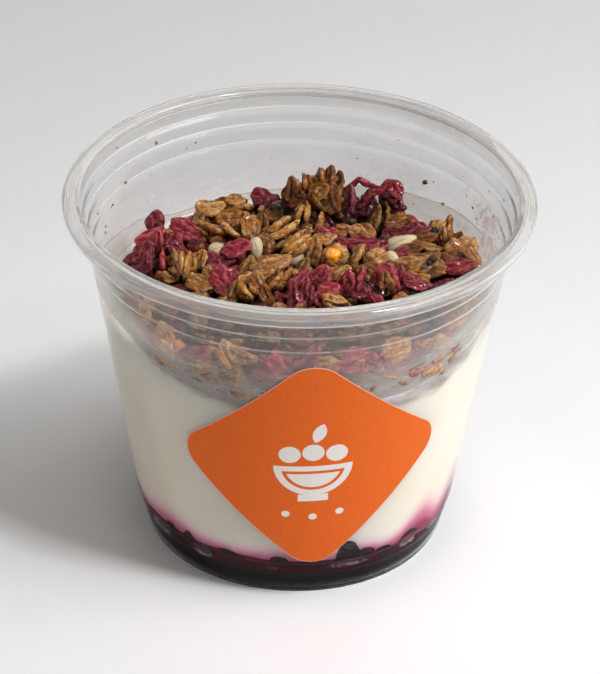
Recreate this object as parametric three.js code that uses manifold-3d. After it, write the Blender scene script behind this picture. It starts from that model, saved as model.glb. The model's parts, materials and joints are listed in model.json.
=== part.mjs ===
// Squat clear cup of yogurt on dark berry compote, heaped with granola, with a turned square label.
// Millimetres, +Z up. The origin is the middle of the foot, on the surface that the cup stands on.
// The label faces -Y.
import * as THREE from 'three';
import { mergeVertices } from 'three/addons/utils/BufferGeometryUtils.js';
import Module from 'manifold-3d';

const wasm = await Module();
wasm.setup();

// ---- driving dimensions -------------------------------------------------------------------------------------
const GAP = 0.3; // between neighbouring pieces
const SIDES = 52; // facets round the cup and what fills it
const WALL = 0.6; // thickness of the moulded wall

const RIM_R = 46; // outside of the rolled lip
const LIP_Z = 73.05; // height of the lip's widest line
const LIP_TOP = 74.35; // the cup's full height
const LIP_UNDER = 71.35; // lower edge of the roll
const NECK_R = 43.2; // outside of the wall where the lip starts
const NECK_Z = 71;
const CONE_FOOT_R = 32.25; // the plain side is a straight cone between these
const CONE_FOOT_Z = 8.8;
const CONE_TOP_R = 40.75;
const CONE_TOP_Z = 62.6;

const FOOT_RING_R = 28.9; // outer edge of the flat ring that the cup stands on
const FOOT_RING_IN_R = 26; // its inner edge, where the base is pushed up
const BASE_R = 24.6; // the pushed-up base
const BASE_RISE = 1.6;
const FLOOR_Z = 0.75; // inside, over the foot ring

const COMPOTE_TOP = 8.2;
const YOGURT_TOP = 50.5;
const HEAP_RISE = 7.6; // granola over the yogurt, in the middle of the heap

const LABEL_SIDE = 40; // the label is a square stood on a corner
const LABEL_CORNER_R = 6;
const LABEL_Z = 34.2; // height of its middle
const LABEL_THICK = 0.25;
const TIP = 0.995; // the label's tips are cut this near to their ends, so that its edge faces have a width

const FLAKE = { length: 8.6, width: 6, thick: 2, sides: 7, rows: 2 }; // an oat flake, baked
const SEED = { length: 8, width: 4.2, thick: 2.4, sides: 8, rows: 4 }; // a shelled sunflower seed
const LUMP = { length: 7, width: 5.4, thick: 4, sides: 7, rows: 4 }; // a knob of baked crumb

// ---- the cup's outer outline: the foot, its two low ledges, the flaring side and three stacking steps ---------
const OUTLINE = [
  [FOOT_RING_R, 0], [29.9, 0.35], [30.3, 1.3], [31.15, 5.2], [31.42, 5.8], [31.9, 8.2], [CONE_FOOT_R, CONE_FOOT_Z],
  [CONE_TOP_R, CONE_TOP_Z], [41.2, 63.4], [41.5, 66.1], [42, 67], [42.45, 69.3], [42.95, 70], [NECK_R, NECK_Z],
];

// The outside radius at a height, read off the outline.
function outerRadius(z) {
  const i = Math.max(1, OUTLINE.findIndex((p) => p[1] >= z));
  const [r0, z0] = OUTLINE[i - 1];
  const [r1, z1] = OUTLINE[i];
  return r0 + ((r1 - r0) * (z - z0)) / (z1 - z0);
}

const innerRadius = (z) => outerRadius(Math.min(z, NECK_Z)) - WALL;
const FILL_FLOOR = BASE_RISE + WALL + GAP; // underside of the compote over the pushed-up base

// ---- shapes ---------------------------------------------------------------------------------------------------
const degrees = (a) => (a * Math.PI) / 180;

// A solid of revolution about Z from points [radius, height], bottom of the axis first.
function turned(points, sides = SIDES) {
  const geometry = new THREE.LatheGeometry(points.map(([r, z]) => new THREE.Vector2(r, z)), sides);
  return geometry.rotateX(Math.PI / 2);
}

// Joins the corners of a geometry and leaves only their places.
function welded(geometry) {
  geometry.deleteAttribute('normal');
  geometry.deleteAttribute('uv');
  return mergeVertices(geometry, 1e-4);
}

function toSolid(geometry) {
  const g = welded(geometry.clone());
  const mesh = new wasm.Mesh({
    numProp: 3,
    vertProperties: new Float32Array(g.attributes.position.array),
    triVerts: new Uint32Array(g.index.array),
  });
  return new wasm.Manifold(mesh);
}

function fromSolid(solid) {
  const { vertProperties, triVerts } = solid.getMesh();
  const geometry = new THREE.BufferGeometry();
  geometry.setAttribute('position', new THREE.BufferAttribute(vertProperties, 3));
  geometry.setIndex(new THREE.BufferAttribute(triVerts, 1));
  return geometry;
}

function named(name, geometry, colour, roughness, metalness = 0) {
  const shape = geometry.index ? geometry : welded(geometry);
  shape.computeVertexNormals();
  const mesh = new THREE.Mesh(shape, new THREE.MeshStandardMaterial({ color: colour, roughness, metalness }));
  mesh.name = name;
  return mesh;
}

// ---- cup --------------------------------------------------------------------------------------------------------
function cup() {
  const outside = OUTLINE.filter((p) => p[1] > 0);
  const roll = [ // up inside the roll, round its tip, over the lip and down to the inner wall
    [43.4, 73], [44.2, 73.5], [45.15, 72.9], [44.9, LIP_UNDER + 0.1], [45.4, LIP_UNDER], [45.9, 72.3],
    [RIM_R, LIP_Z], [45.6, 73.9], [44.8, LIP_TOP], [43.2, LIP_TOP], [42.5, 73.9],
  ];
  const inside = outside.filter((p) => p[1] > 1).map(([r, z]) => [r - WALL, z]).reverse();
  return turned([
    [0, BASE_RISE], [BASE_R, BASE_RISE], [FOOT_RING_IN_R, 0], [FOOT_RING_R, 0], ...outside, ...roll, ...inside,
    [28.9, FLOOR_Z], [26.3, FLOOR_Z], [BASE_R + 0.2, BASE_RISE + WALL], [0, BASE_RISE + WALL],
  ]);
}

// ---- what fills it ------------------------------------------------------------------------------------------------
// The side of a filling from one height to another: the inner wall's own corners, a gap further in.
function fillSide(low, high) {
  const between = OUTLINE.filter((p) => p[1] > low + 0.2 && p[1] < high - 0.2).map((p) => p[1]);
  return [low, ...between, high].map((z) => [innerRadius(z) - GAP, z]);
}

function compote() {
  const floor = FLOOR_Z + GAP;
  return turned([
    [0, FILL_FLOOR], [BASE_R, FILL_FLOOR], [26.2, floor], [28.5, floor],
    ...fillSide(1.6, COMPOTE_TOP), [0, COMPOTE_TOP],
  ]);
}

function yogurt() {
  const brim = innerRadius(YOGURT_TOP) - GAP;
  return turned([
    [0, COMPOTE_TOP + GAP], ...fillSide(COMPOTE_TOP + GAP, YOGURT_TOP + 0.7),
    [brim - 1.4, YOGURT_TOP], [0, YOGURT_TOP],
  ]);
}

// ---- granola --------------------------------------------------------------------------------------------------------
// The heap leans towards the front wall: its edge is far from the axis in front and nearer behind.
function heapEdge(angle) {
  return 33.6 - 4.2 * Math.sin(angle) + 0.9 * Math.cos(2 * angle);
}

// Height of the bare heap over a point, with the lumpy rise and fall of packed pieces.
function heapTop(x, y) {
  const reach = Math.min(1, Math.hypot(x, y) / heapEdge(Math.atan2(y, x)));
  const lumps = 0.5 * Math.sin(x * 0.62 + 1) * Math.cos(y * 0.55) + 0.35 * Math.sin(x * 0.31 - y * 0.43);
  return YOGURT_TOP + GAP + 1.4 + (HEAP_RISE - 1.4) * (1 - reach ** 4) + lumps * (1 - reach ** 6);
}

function heapCore() {
  const foot = YOGURT_TOP + GAP;
  const rings = [0.98, 0.97, 0.9, 0.78, 0.62, 0.44, 0.24];
  const geometry = turned([[0, foot], ...rings.map((k, i) => [k, i ? foot + 1 : foot]), [0, foot + 1]], 28);
  const place = geometry.attributes.position;
  for (let i = 0; i < place.count; i += 1) {
    const angle = Math.atan2(place.getY(i), place.getX(i));
    const scale = heapEdge(angle);
    const [x, y] = [place.getX(i) * scale, place.getY(i) * scale];
    place.setXYZ(i, x, y, place.getZ(i) > foot + 0.5 ? heapTop(x, y) : foot);
  }
  return geometry;
}

// A number from 0 to 1 that looks random and is the same each time.
function scatter(i, salt) {
  const s = Math.sin(i * 12.9898 + salt * 78.233) * 43758.5453;
  return s - Math.floor(s);
}

// One piece of granola: a low lens whose long way is X, leaned about X, then turned about Z.
function morsel(form, x, y, z, turn, lean, size = 1) {
  const g = new THREE.SphereGeometry(1, form.sides, form.rows).rotateX(Math.PI / 2);
  g.scale((form.length / 2) * size, (form.width / 2) * size, (form.thick / 2) * Math.sqrt(size));
  return g.rotateX(degrees(lean)).rotateZ(degrees(turn)).translate(x, y, z);
}

// Flakes baked together side by side, spread a little like a hand of cards.
function stack({ x, y, rise, turn, lean, count, size = 1 }) {
  const pitch = 1.25;
  const normal = new THREE.Vector3(0, -Math.sin(degrees(lean)), Math.cos(degrees(lean)));
  normal.applyAxisAngle(new THREE.Vector3(0, 0, 1), degrees(turn));
  const base = heapTop(x, y) + rise;
  return Array.from({ length: count }, (_, i) => {
    const along = (i - (count - 1) / 2) * pitch;
    const at = normal.clone().multiplyScalar(along).add(new THREE.Vector3(x, y, base));
    return morsel(FLAKE, at.x, at.y, at.z, turn + (i % 2 ? 9 : -9), lean + along * 5, size * (i % 2 ? 0.92 : 1));
  });
}

// The clusters that stand out, each over the point of the heap where it lies.
const STACKS = [
  { x: 2, y: 14, rise: 5, turn: 95, lean: 82, count: 4 }, // the tall one, at the back
  { x: 7, y: 15, rise: 5.6, turn: 75, lean: 84, count: 4 },
  { x: 1.5, y: 12, rise: 2.4, turn: 60, lean: 70, count: 3 },
  { x: -1, y: 3, rise: 2.2, turn: 30, lean: 58, count: 5 },
  { x: -22, y: -1, rise: 1.6, turn: 70, lean: 62, count: 4 },
  { x: -28, y: 6, rise: 2, turn: 75, lean: 55, count: 3, size: 0.9 },
  { x: -27.5, y: 13, rise: 1.8, turn: 20, lean: 60, count: 2, size: 0.75 },
  { x: -21, y: 9, rise: 1.8, turn: -25, lean: 25, count: 3 },
  { x: -15.5, y: 18, rise: 1.6, turn: 10, lean: 20, count: 2 },
  { x: -11, y: 13, rise: 1.8, turn: -20, lean: 15, count: 3 },
  { x: -3, y: 13, rise: 1.6, turn: 0, lean: 12, count: 2, size: 0.95 },
  { x: -11.3, y: 1, rise: 1.6, turn: 20, lean: 28, count: 2 },
  { x: -15.5, y: -7, rise: 1.4, turn: -40, lean: 45, count: 2 },
  { x: -10, y: -11, rise: 1.6, turn: 15, lean: 40, count: 3 },
  { x: 1.8, y: -13.6, rise: 2.2, turn: 60, lean: 55, count: 4 },
  { x: -2, y: -15, rise: 1.4, turn: 110, lean: 60, count: 3, size: 0.85 },
  { x: 9.3, y: -12, rise: 1.8, turn: 100, lean: 70, count: 2 },
  { x: 17, y: -10.4, rise: 1.6, turn: 80, lean: 35, count: 3 },
  { x: 24, y: -4.6, rise: 1.8, turn: 5, lean: 22, count: 4, size: 1.1 },
  { x: 32, y: 3.4, rise: 1.8, turn: 10, lean: 25, count: 3, size: 0.8 },
  { x: 17, y: 12, rise: 2.4, turn: 110, lean: 76, count: 3, size: 0.9 },
  { x: 12.5, y: 15.7, rise: 3.4, turn: 45, lean: 60, count: 3 },
  { x: 20, y: 17.8, rise: 4, turn: 60, lean: 65, count: 2, size: 0.85 },
  { x: 13, y: 3, rise: 1, turn: 15, lean: 20, count: 2 },
];

const LOOSE_FLAKES = 70;

// Everything that lies on the heap, the largest first.
function granolaPieces() {
  const pieces = STACKS.flatMap(stack);
  pieces.push(morsel(SEED, 20.2, 3.5, heapTop(20, 3.5) + 1.6, 25, 10));
  pieces.push(morsel(SEED, -15.6, 4.6, heapTop(-15, 4.6) + 1.2, -20, 10, 0.8));
  pieces.push(morsel(LUMP, 10.8, 7, heapTop(10.8, 7) + 1.6, 10, 0));
  pieces.push(morsel(LUMP, 6, -4, heapTop(6, -4) + 1.6, 60, 0));
  pieces.push(morsel(LUMP, 15, -2.4, heapTop(15, -2.4) + 1.4, 20, 0, 0.9));
  for (let i = 0; i < LOOSE_FLAKES; i += 1) {
    const angle = i * 2.39996;
    const reach = Math.sqrt((i + 0.5) / LOOSE_FLAKES) * 0.96 * heapEdge(angle);
    const [x, y] = [reach * Math.cos(angle), reach * Math.sin(angle)];
    const crowded = STACKS.some((s) => Math.hypot(s.x - x, s.y - y) < 3.2);
    if (!crowded) {
      const z = heapTop(x, y) + 0.5 + scatter(i, 1) * 0.8;
      pieces.push(morsel(FLAKE, x, y, z, scatter(i, 2) * 360, 8 + scatter(i, 3) * 42, 0.75 + scatter(i, 4) * 0.35));
    }
  }
  return pieces;
}

// Whether a piece stays clear of the wall all round and of the yogurt below.
function fits(geometry) {
  const place = geometry.attributes.position;
  for (let i = 0; i < place.count; i += 1) {
    const z = place.getZ(i);
    const clearOfWall = Math.hypot(place.getX(i), place.getY(i)) < innerRadius(z) - GAP - 0.15;
    if (!clearOfWall || z < YOGURT_TOP + GAP) return false;
  }
  return true;
}

// Moves a piece towards the axis, and up off the yogurt, until it fits. What never fits is left out.
function eased(geometry) {
  for (let step = 0; step < 12; step += 1) {
    if (fits(geometry)) return geometry;
    const middle = new THREE.Box3().setFromBufferAttribute(geometry.attributes.position).getCenter(new THREE.Vector3());
    const inward = new THREE.Vector2(-middle.x, -middle.y).setLength(0.4);
    geometry.translate(inward.x, inward.y, 0.15);
  }
  return null;
}

function granola() {
  const heap = [heapCore(), ...granolaPieces().map(eased).filter(Boolean)].map(toSolid);
  const joined = wasm.Manifold.union(heap);
  const largest = joined.decompose().sort((a, b) => b.volume() - a.volume())[0];
  return fromSolid(largest);
}

// ---- label ----------------------------------------------------------------------------------------------------------
// Half the width of the turned square with round corners, at a height above or below its middle.
function labelHalfWidth(y) {
  const half = LABEL_SIDE / Math.SQRT2;
  const cut = LABEL_CORNER_R * (Math.SQRT2 - 1);
  const centre = half - LABEL_CORNER_R * Math.SQRT2; // of a corner's arc, from the middle
  const height = Math.abs(y);
  if (height < LABEL_CORNER_R / Math.SQRT2) {
    return centre + Math.sqrt(LABEL_CORNER_R ** 2 - height ** 2);
  }
  if (height < centre + LABEL_CORNER_R / Math.SQRT2) return half - height;
  const end = half - cut;
  const over = Math.min(height, end) - centre;
  return Math.sqrt(Math.max(0, LABEL_CORNER_R ** 2 - over ** 2));
}

// Rolls a flat point of the label, x across and y up, onto the cup's cone, out from the wall by a distance.
function rolledOn(x, y, out) {
  const taper = Math.atan((CONE_TOP_R - CONE_FOOT_R) / (CONE_TOP_Z - CONE_FOOT_Z));
  const slant = outerRadius(LABEL_Z) / Math.sin(taper); // from the cone's tip to the label's middle
  const distance = Math.hypot(x, slant + y);
  const angle = Math.atan2(x, slant + y) / Math.sin(taper) - Math.PI / 2;
  const z = LABEL_Z + (distance - slant) * Math.cos(taper);
  const radius = outerRadius(z) + out;
  return [radius * Math.cos(angle), radius * Math.sin(angle), z];
}

function label() {
  const [columns, rows] = [12, 16];
  const geometry = new THREE.BoxGeometry(2, 2, 1, columns, rows, 1);
  const place = geometry.attributes.position;
  const end = LABEL_SIDE / Math.SQRT2 - LABEL_CORNER_R * (Math.SQRT2 - 1);
  for (let i = 0; i < place.count; i += 1) {
    const row = place.getY(i); // rows lie closer near the tips
    const y = TIP * end * (0.5 * row + 0.5 * Math.sin((row * Math.PI) / 2));
    const x = place.getX(i) * labelHalfWidth(y);
    place.setXYZ(i, ...rolledOn(x, y, GAP + (place.getZ(i) > 0 ? LABEL_THICK : 0)));
  }
  return geometry;
}

// ---- the whole --------------------------------------------------------------------------------------------------------
const yogurtCup = new THREE.Group();
yogurtCup.add(
  named('cup', cup(), 0xd9dcdb, 0.12),
  named('compote', compote(), 0x2a1017, 0.3),
  named('yogurt', yogurt(), 0xf2eee4, 0.45),
  named('granola', granola(), 0x9a6634, 0.7),
  named('label', label(), 0xf0692c, 0.6),
);

export default yogurtCup;
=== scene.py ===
"""A squat clear cup of plain yogurt on dark berry compote, heaped with granola, with a turned square label.

Laid out as an add-on and run as a script. Sizes in the tables are in millimetres, +Z up, with the origin in
the middle of the foot and the label facing -Y. Angles round the cup are in degrees from -Y towards +X.
"""

import json
import math

import bpy
import numpy as np
from bpy.props import FloatProperty, FloatVectorProperty, IntProperty, PointerProperty
from mathutils import Matrix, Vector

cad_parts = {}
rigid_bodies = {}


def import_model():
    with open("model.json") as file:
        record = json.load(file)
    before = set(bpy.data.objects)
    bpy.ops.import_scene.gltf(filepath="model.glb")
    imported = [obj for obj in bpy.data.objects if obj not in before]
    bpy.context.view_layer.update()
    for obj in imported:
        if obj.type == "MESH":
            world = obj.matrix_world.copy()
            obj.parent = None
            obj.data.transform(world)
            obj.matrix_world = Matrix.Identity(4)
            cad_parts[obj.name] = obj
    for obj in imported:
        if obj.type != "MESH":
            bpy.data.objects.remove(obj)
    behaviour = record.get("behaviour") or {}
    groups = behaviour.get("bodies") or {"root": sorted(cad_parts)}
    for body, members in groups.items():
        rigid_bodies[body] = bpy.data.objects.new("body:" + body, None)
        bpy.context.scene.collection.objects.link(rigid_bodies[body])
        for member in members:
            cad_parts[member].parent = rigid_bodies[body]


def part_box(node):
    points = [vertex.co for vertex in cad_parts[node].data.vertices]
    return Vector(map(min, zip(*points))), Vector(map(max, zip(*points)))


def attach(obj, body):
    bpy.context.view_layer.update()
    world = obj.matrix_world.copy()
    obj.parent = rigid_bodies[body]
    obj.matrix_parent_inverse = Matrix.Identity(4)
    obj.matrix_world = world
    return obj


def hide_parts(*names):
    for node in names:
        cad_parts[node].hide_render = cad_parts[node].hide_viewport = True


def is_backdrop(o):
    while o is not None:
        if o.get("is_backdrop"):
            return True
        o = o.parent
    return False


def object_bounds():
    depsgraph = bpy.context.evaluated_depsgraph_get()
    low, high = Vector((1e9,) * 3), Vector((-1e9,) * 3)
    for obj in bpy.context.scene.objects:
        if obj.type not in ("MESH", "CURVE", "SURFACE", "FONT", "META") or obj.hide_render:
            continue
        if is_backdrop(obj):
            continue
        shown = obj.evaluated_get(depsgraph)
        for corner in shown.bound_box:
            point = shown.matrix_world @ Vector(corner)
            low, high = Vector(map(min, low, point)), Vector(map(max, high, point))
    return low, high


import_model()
CAD_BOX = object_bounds()

bl_info = {
    "name": "Yogurt cup",
    "version": (1, 0, 0),
    "blender": (4, 5, 0),
    "location": "3D View > Sidebar > Yogurt cup",
    "description": "Builds a clear cup of yogurt, compote and granola around its packed solids",
    "category": "Object",
}

MM = 0.001
BODY = "root"

# ---- sizes taken from the frame, in millimetres --------------------------------------------------


def node_box(node):
    low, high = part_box(node)
    return np.array(low) / MM, np.array(high) / MM


RIM_R, _, LIP_TOP = node_box("cup")[1]
COMPOTE_TOP = node_box("compote")[1][2]
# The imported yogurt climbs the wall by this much.
YOGURT_CLIMB = 0.7
YOGURT_TOP = node_box("yogurt")[1][2] - YOGURT_CLIMB
LABEL_LOW, LABEL_HIGH = node_box("label")
LABEL_Z = (LABEL_LOW[2] + LABEL_HIGH[2]) / 2

# ---- the cup's section ---------------------------------------------------------------------------
WALL = 0.6
NECK_Z = 71
CONE_FOOT = (32.25, 8.8)
CONE_TOP = (40.75, 62.6)
OUTLINE = [
    (28.9, 0), (29.9, 0.35), (30.3, 1.3), (31.15, 5.2), (31.42, 5.8), (31.9, 8.2), CONE_FOOT, CONE_TOP,
    (41.2, 63.4), (41.5, 66.1), (42, 67), (42.45, 69.3), (42.95, 70), (43.2, NECK_Z),
]
ROLL = [
    (43.4, 73), (44.2, 73.5), (45.15, 72.9), (44.9, 71.45), (45.4, 71.35), (45.9, 72.3), (RIM_R, 73.05),
    (45.6, 73.9), (44.8, LIP_TOP), (43.2, LIP_TOP), (42.5, 73.9),
]
# Creases drawn as thin milky lines, a painted highlight for the light that they catch: radius, height, half
# width and how milky they are.
SEAM_HIGHLIGHTS = [
    (42.62, 73.98, 0.34, 0.4), (45.95, 73.2, 0.4, 0.3), (45, 71.42, 0.5, 0.5), (43, 70.05, 0.36, 0.5),
    (41.95, 66.95, 0.38, 0.55), (41.2, 63.4, 0.32, 0.45),
]
SECTION_CORNER_R = 0.55
FOOT_INSIDE = [(28.9, 0.75), (26.3, 0.75), (24.8, 2.2), (0, 2.2)]
FOOT_OUTSIDE = [(0, 1.6), (24.6, 1.6), (26, 0)]

# ---- the camera that the picture was taken with --------------------------------------------------
AIM = (0, 0, 41.4)
CAMERA_AROUND = -5.0
CAMERA_LIFT = 0.5626
CAMERA_ROLL = 0.0199
CAMERA_DISTANCE = 596.3
CAMERA_OFFSET = (0.505, -0.384)
CAMERA_LENS = 160.24
SENSOR = 36
PICTURE = (600, 674)
FOCAL_PIXELS = CAMERA_LENS / SENSOR * PICTURE[1]

# ---- what touches the wall -----------------------------------------------------------------------
# Heights of an edge round the cup: (angle, height).
COMPOTE_EDGE = [
    (-180, 8.8), (-130, 9.4), (-90, 9), (-72, 9.2), (-60, 9.4), (-45, 9.3), (-28, 9.5), (-17, 9.3),
    (0, 9.1), (23, 9.1), (34, 8.7), (45, 8.2), (53, 7.6), (62, 8), (90, 8.8), (130, 9.3), (180, 8.8),
]
YOGURT_EDGE = [
    (-180, 53), (-165, 52.6), (-146, 52), (-125, 55), (-100, 57), (-75, 57), (-58, 55.4), (-45, 52.4),
    (-30, 50.2), (0, 49.6), (28, 49.8), (40, 51.2), (50, 53.6), (62, 56.4), (90, 57.2), (119, 57.2),
    (142, 56), (165, 54.4), (180, 53),
]
# Where the clean white ends and the grey band below the granola starts.
GREY_BAND_EDGE = [
    (-180, 51), (-90, 56), (-62, 55.4), (-44, 50.8), (-30, 48), (0, 46.6), (38, 46.2), (50, 49.4),
    (60, 53.6), (80, 56.4), (180, 51),
]
# Dark berries that stand up over the compote's edge: (angle, half width in degrees, top).
BERRIES = [
    (-54, 2.6, 10.4), (-45, 2.4, 10.9), (-29, 3, 10), (-10, 3.4, 10.4), (14.6, 4.4, 13.8),
    (21.5, 3.6, 10.8), (29, 3.4, 9.6), (41, 4.6, 10.9), (66, 4.2, 13.4), (72, 3.6, 14.2), (88, 5, 10.6),
    (110, 4, 11), (133, 6, 10.4), (158, 4, 10.8), (-178, 5, 11.4), (-152, 4, 10.2), (-128, 6, 11),
    (-104, 4, 10.4), (-82, 5, 11.2),
]
# Pockets of air between the compote and the wall: (angle, half width in degrees, foot, top).
AIR_POCKETS = [
    (-63, 7.5, 5.2, 7.6), (-40.4, 4.4, 5.5, 8.6), (-12.3, 2.4, 6, 7.1), (16, 9, 6.6, 8.4),
    (41, 5, 6.5, 9.6), (58, 4.5, 5.9, 7.6), (68, 4, 7, 11), (97, 6, 5.6, 8.4), (124, 4, 6, 8),
    (150, 7, 5.4, 7.4), (176, 4, 6, 8.6), (-158, 6, 5.6, 7.8), (-133, 4, 6, 8), (-111, 6, 5.4, 8.2),
    (-88, 3.4, 6, 8.4),
]
# Where the juice has risen into the yogurt: (angle, half width in degrees, rise, strength).
STAINS = [
    (-54, 18, 3.4, 0.72), (-30, 10, 2.2, 0.6), (-9, 10, 3, 0.7), (20, 8, 2.6, 0.8), (46, 10, 5.4, 1.25),
    (66, 9, 7.4, 1.15), (95, 20, 3, 0.75), (140, 18, 3.8, 0.9), (-160, 20, 3.2, 0.8), (-115, 22, 2.6, 0.7),
    (-80, 14, 2.8, 0.6),
]
# Crumbs stuck to the inside of the wall: (angle, height, size).
WALL_CRUMBS = [
    (-125, 64, 0.5), (-116, 62.2, 0.4), (-115, 62, 0.24), (-106, 63.9, 0.3), (-109, 60, 0.4),
    (-108, 59, 0.32), (-125, 71.4, 0.3), (-127, 67, 0.2), (111, 62.1, 0.3), (114, 60.4, 0.4),
    (111, 58.9, 0.3), (102, 62.8, 0.4), (99, 67.5, 0.4), (135, 59.8, 0.7), (132, 60.6, 0.3),
    (127, 57.2, 0.6), (118, 61.7, 0.2), (136, 69.3, 0.2), (138, 54.3, 0.26), (-176, 59.9, 0.18),
    (-150, 64.9, 0.2), (-136, 62.9, 0.2), (-153, 65.6, 0.3), (-163, 58.9, 0.2), (-140, 68.2, 0.5),
    (146, 66.4, 0.24), (122, 64.6, 0.3), (158, 60.8, 0.2), (108, 66, 0.24), (-20, 63, 0.2), (24, 61.2, 0.2),
    (46, 60.4, 0.2),
]

# ---- granola -------------------------------------------------------------------------------------
HEAP_RISE = 7.6
HEAP_SIDE = 1.4
HEAP_FOOT = YOGURT_TOP + 0.3
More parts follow.
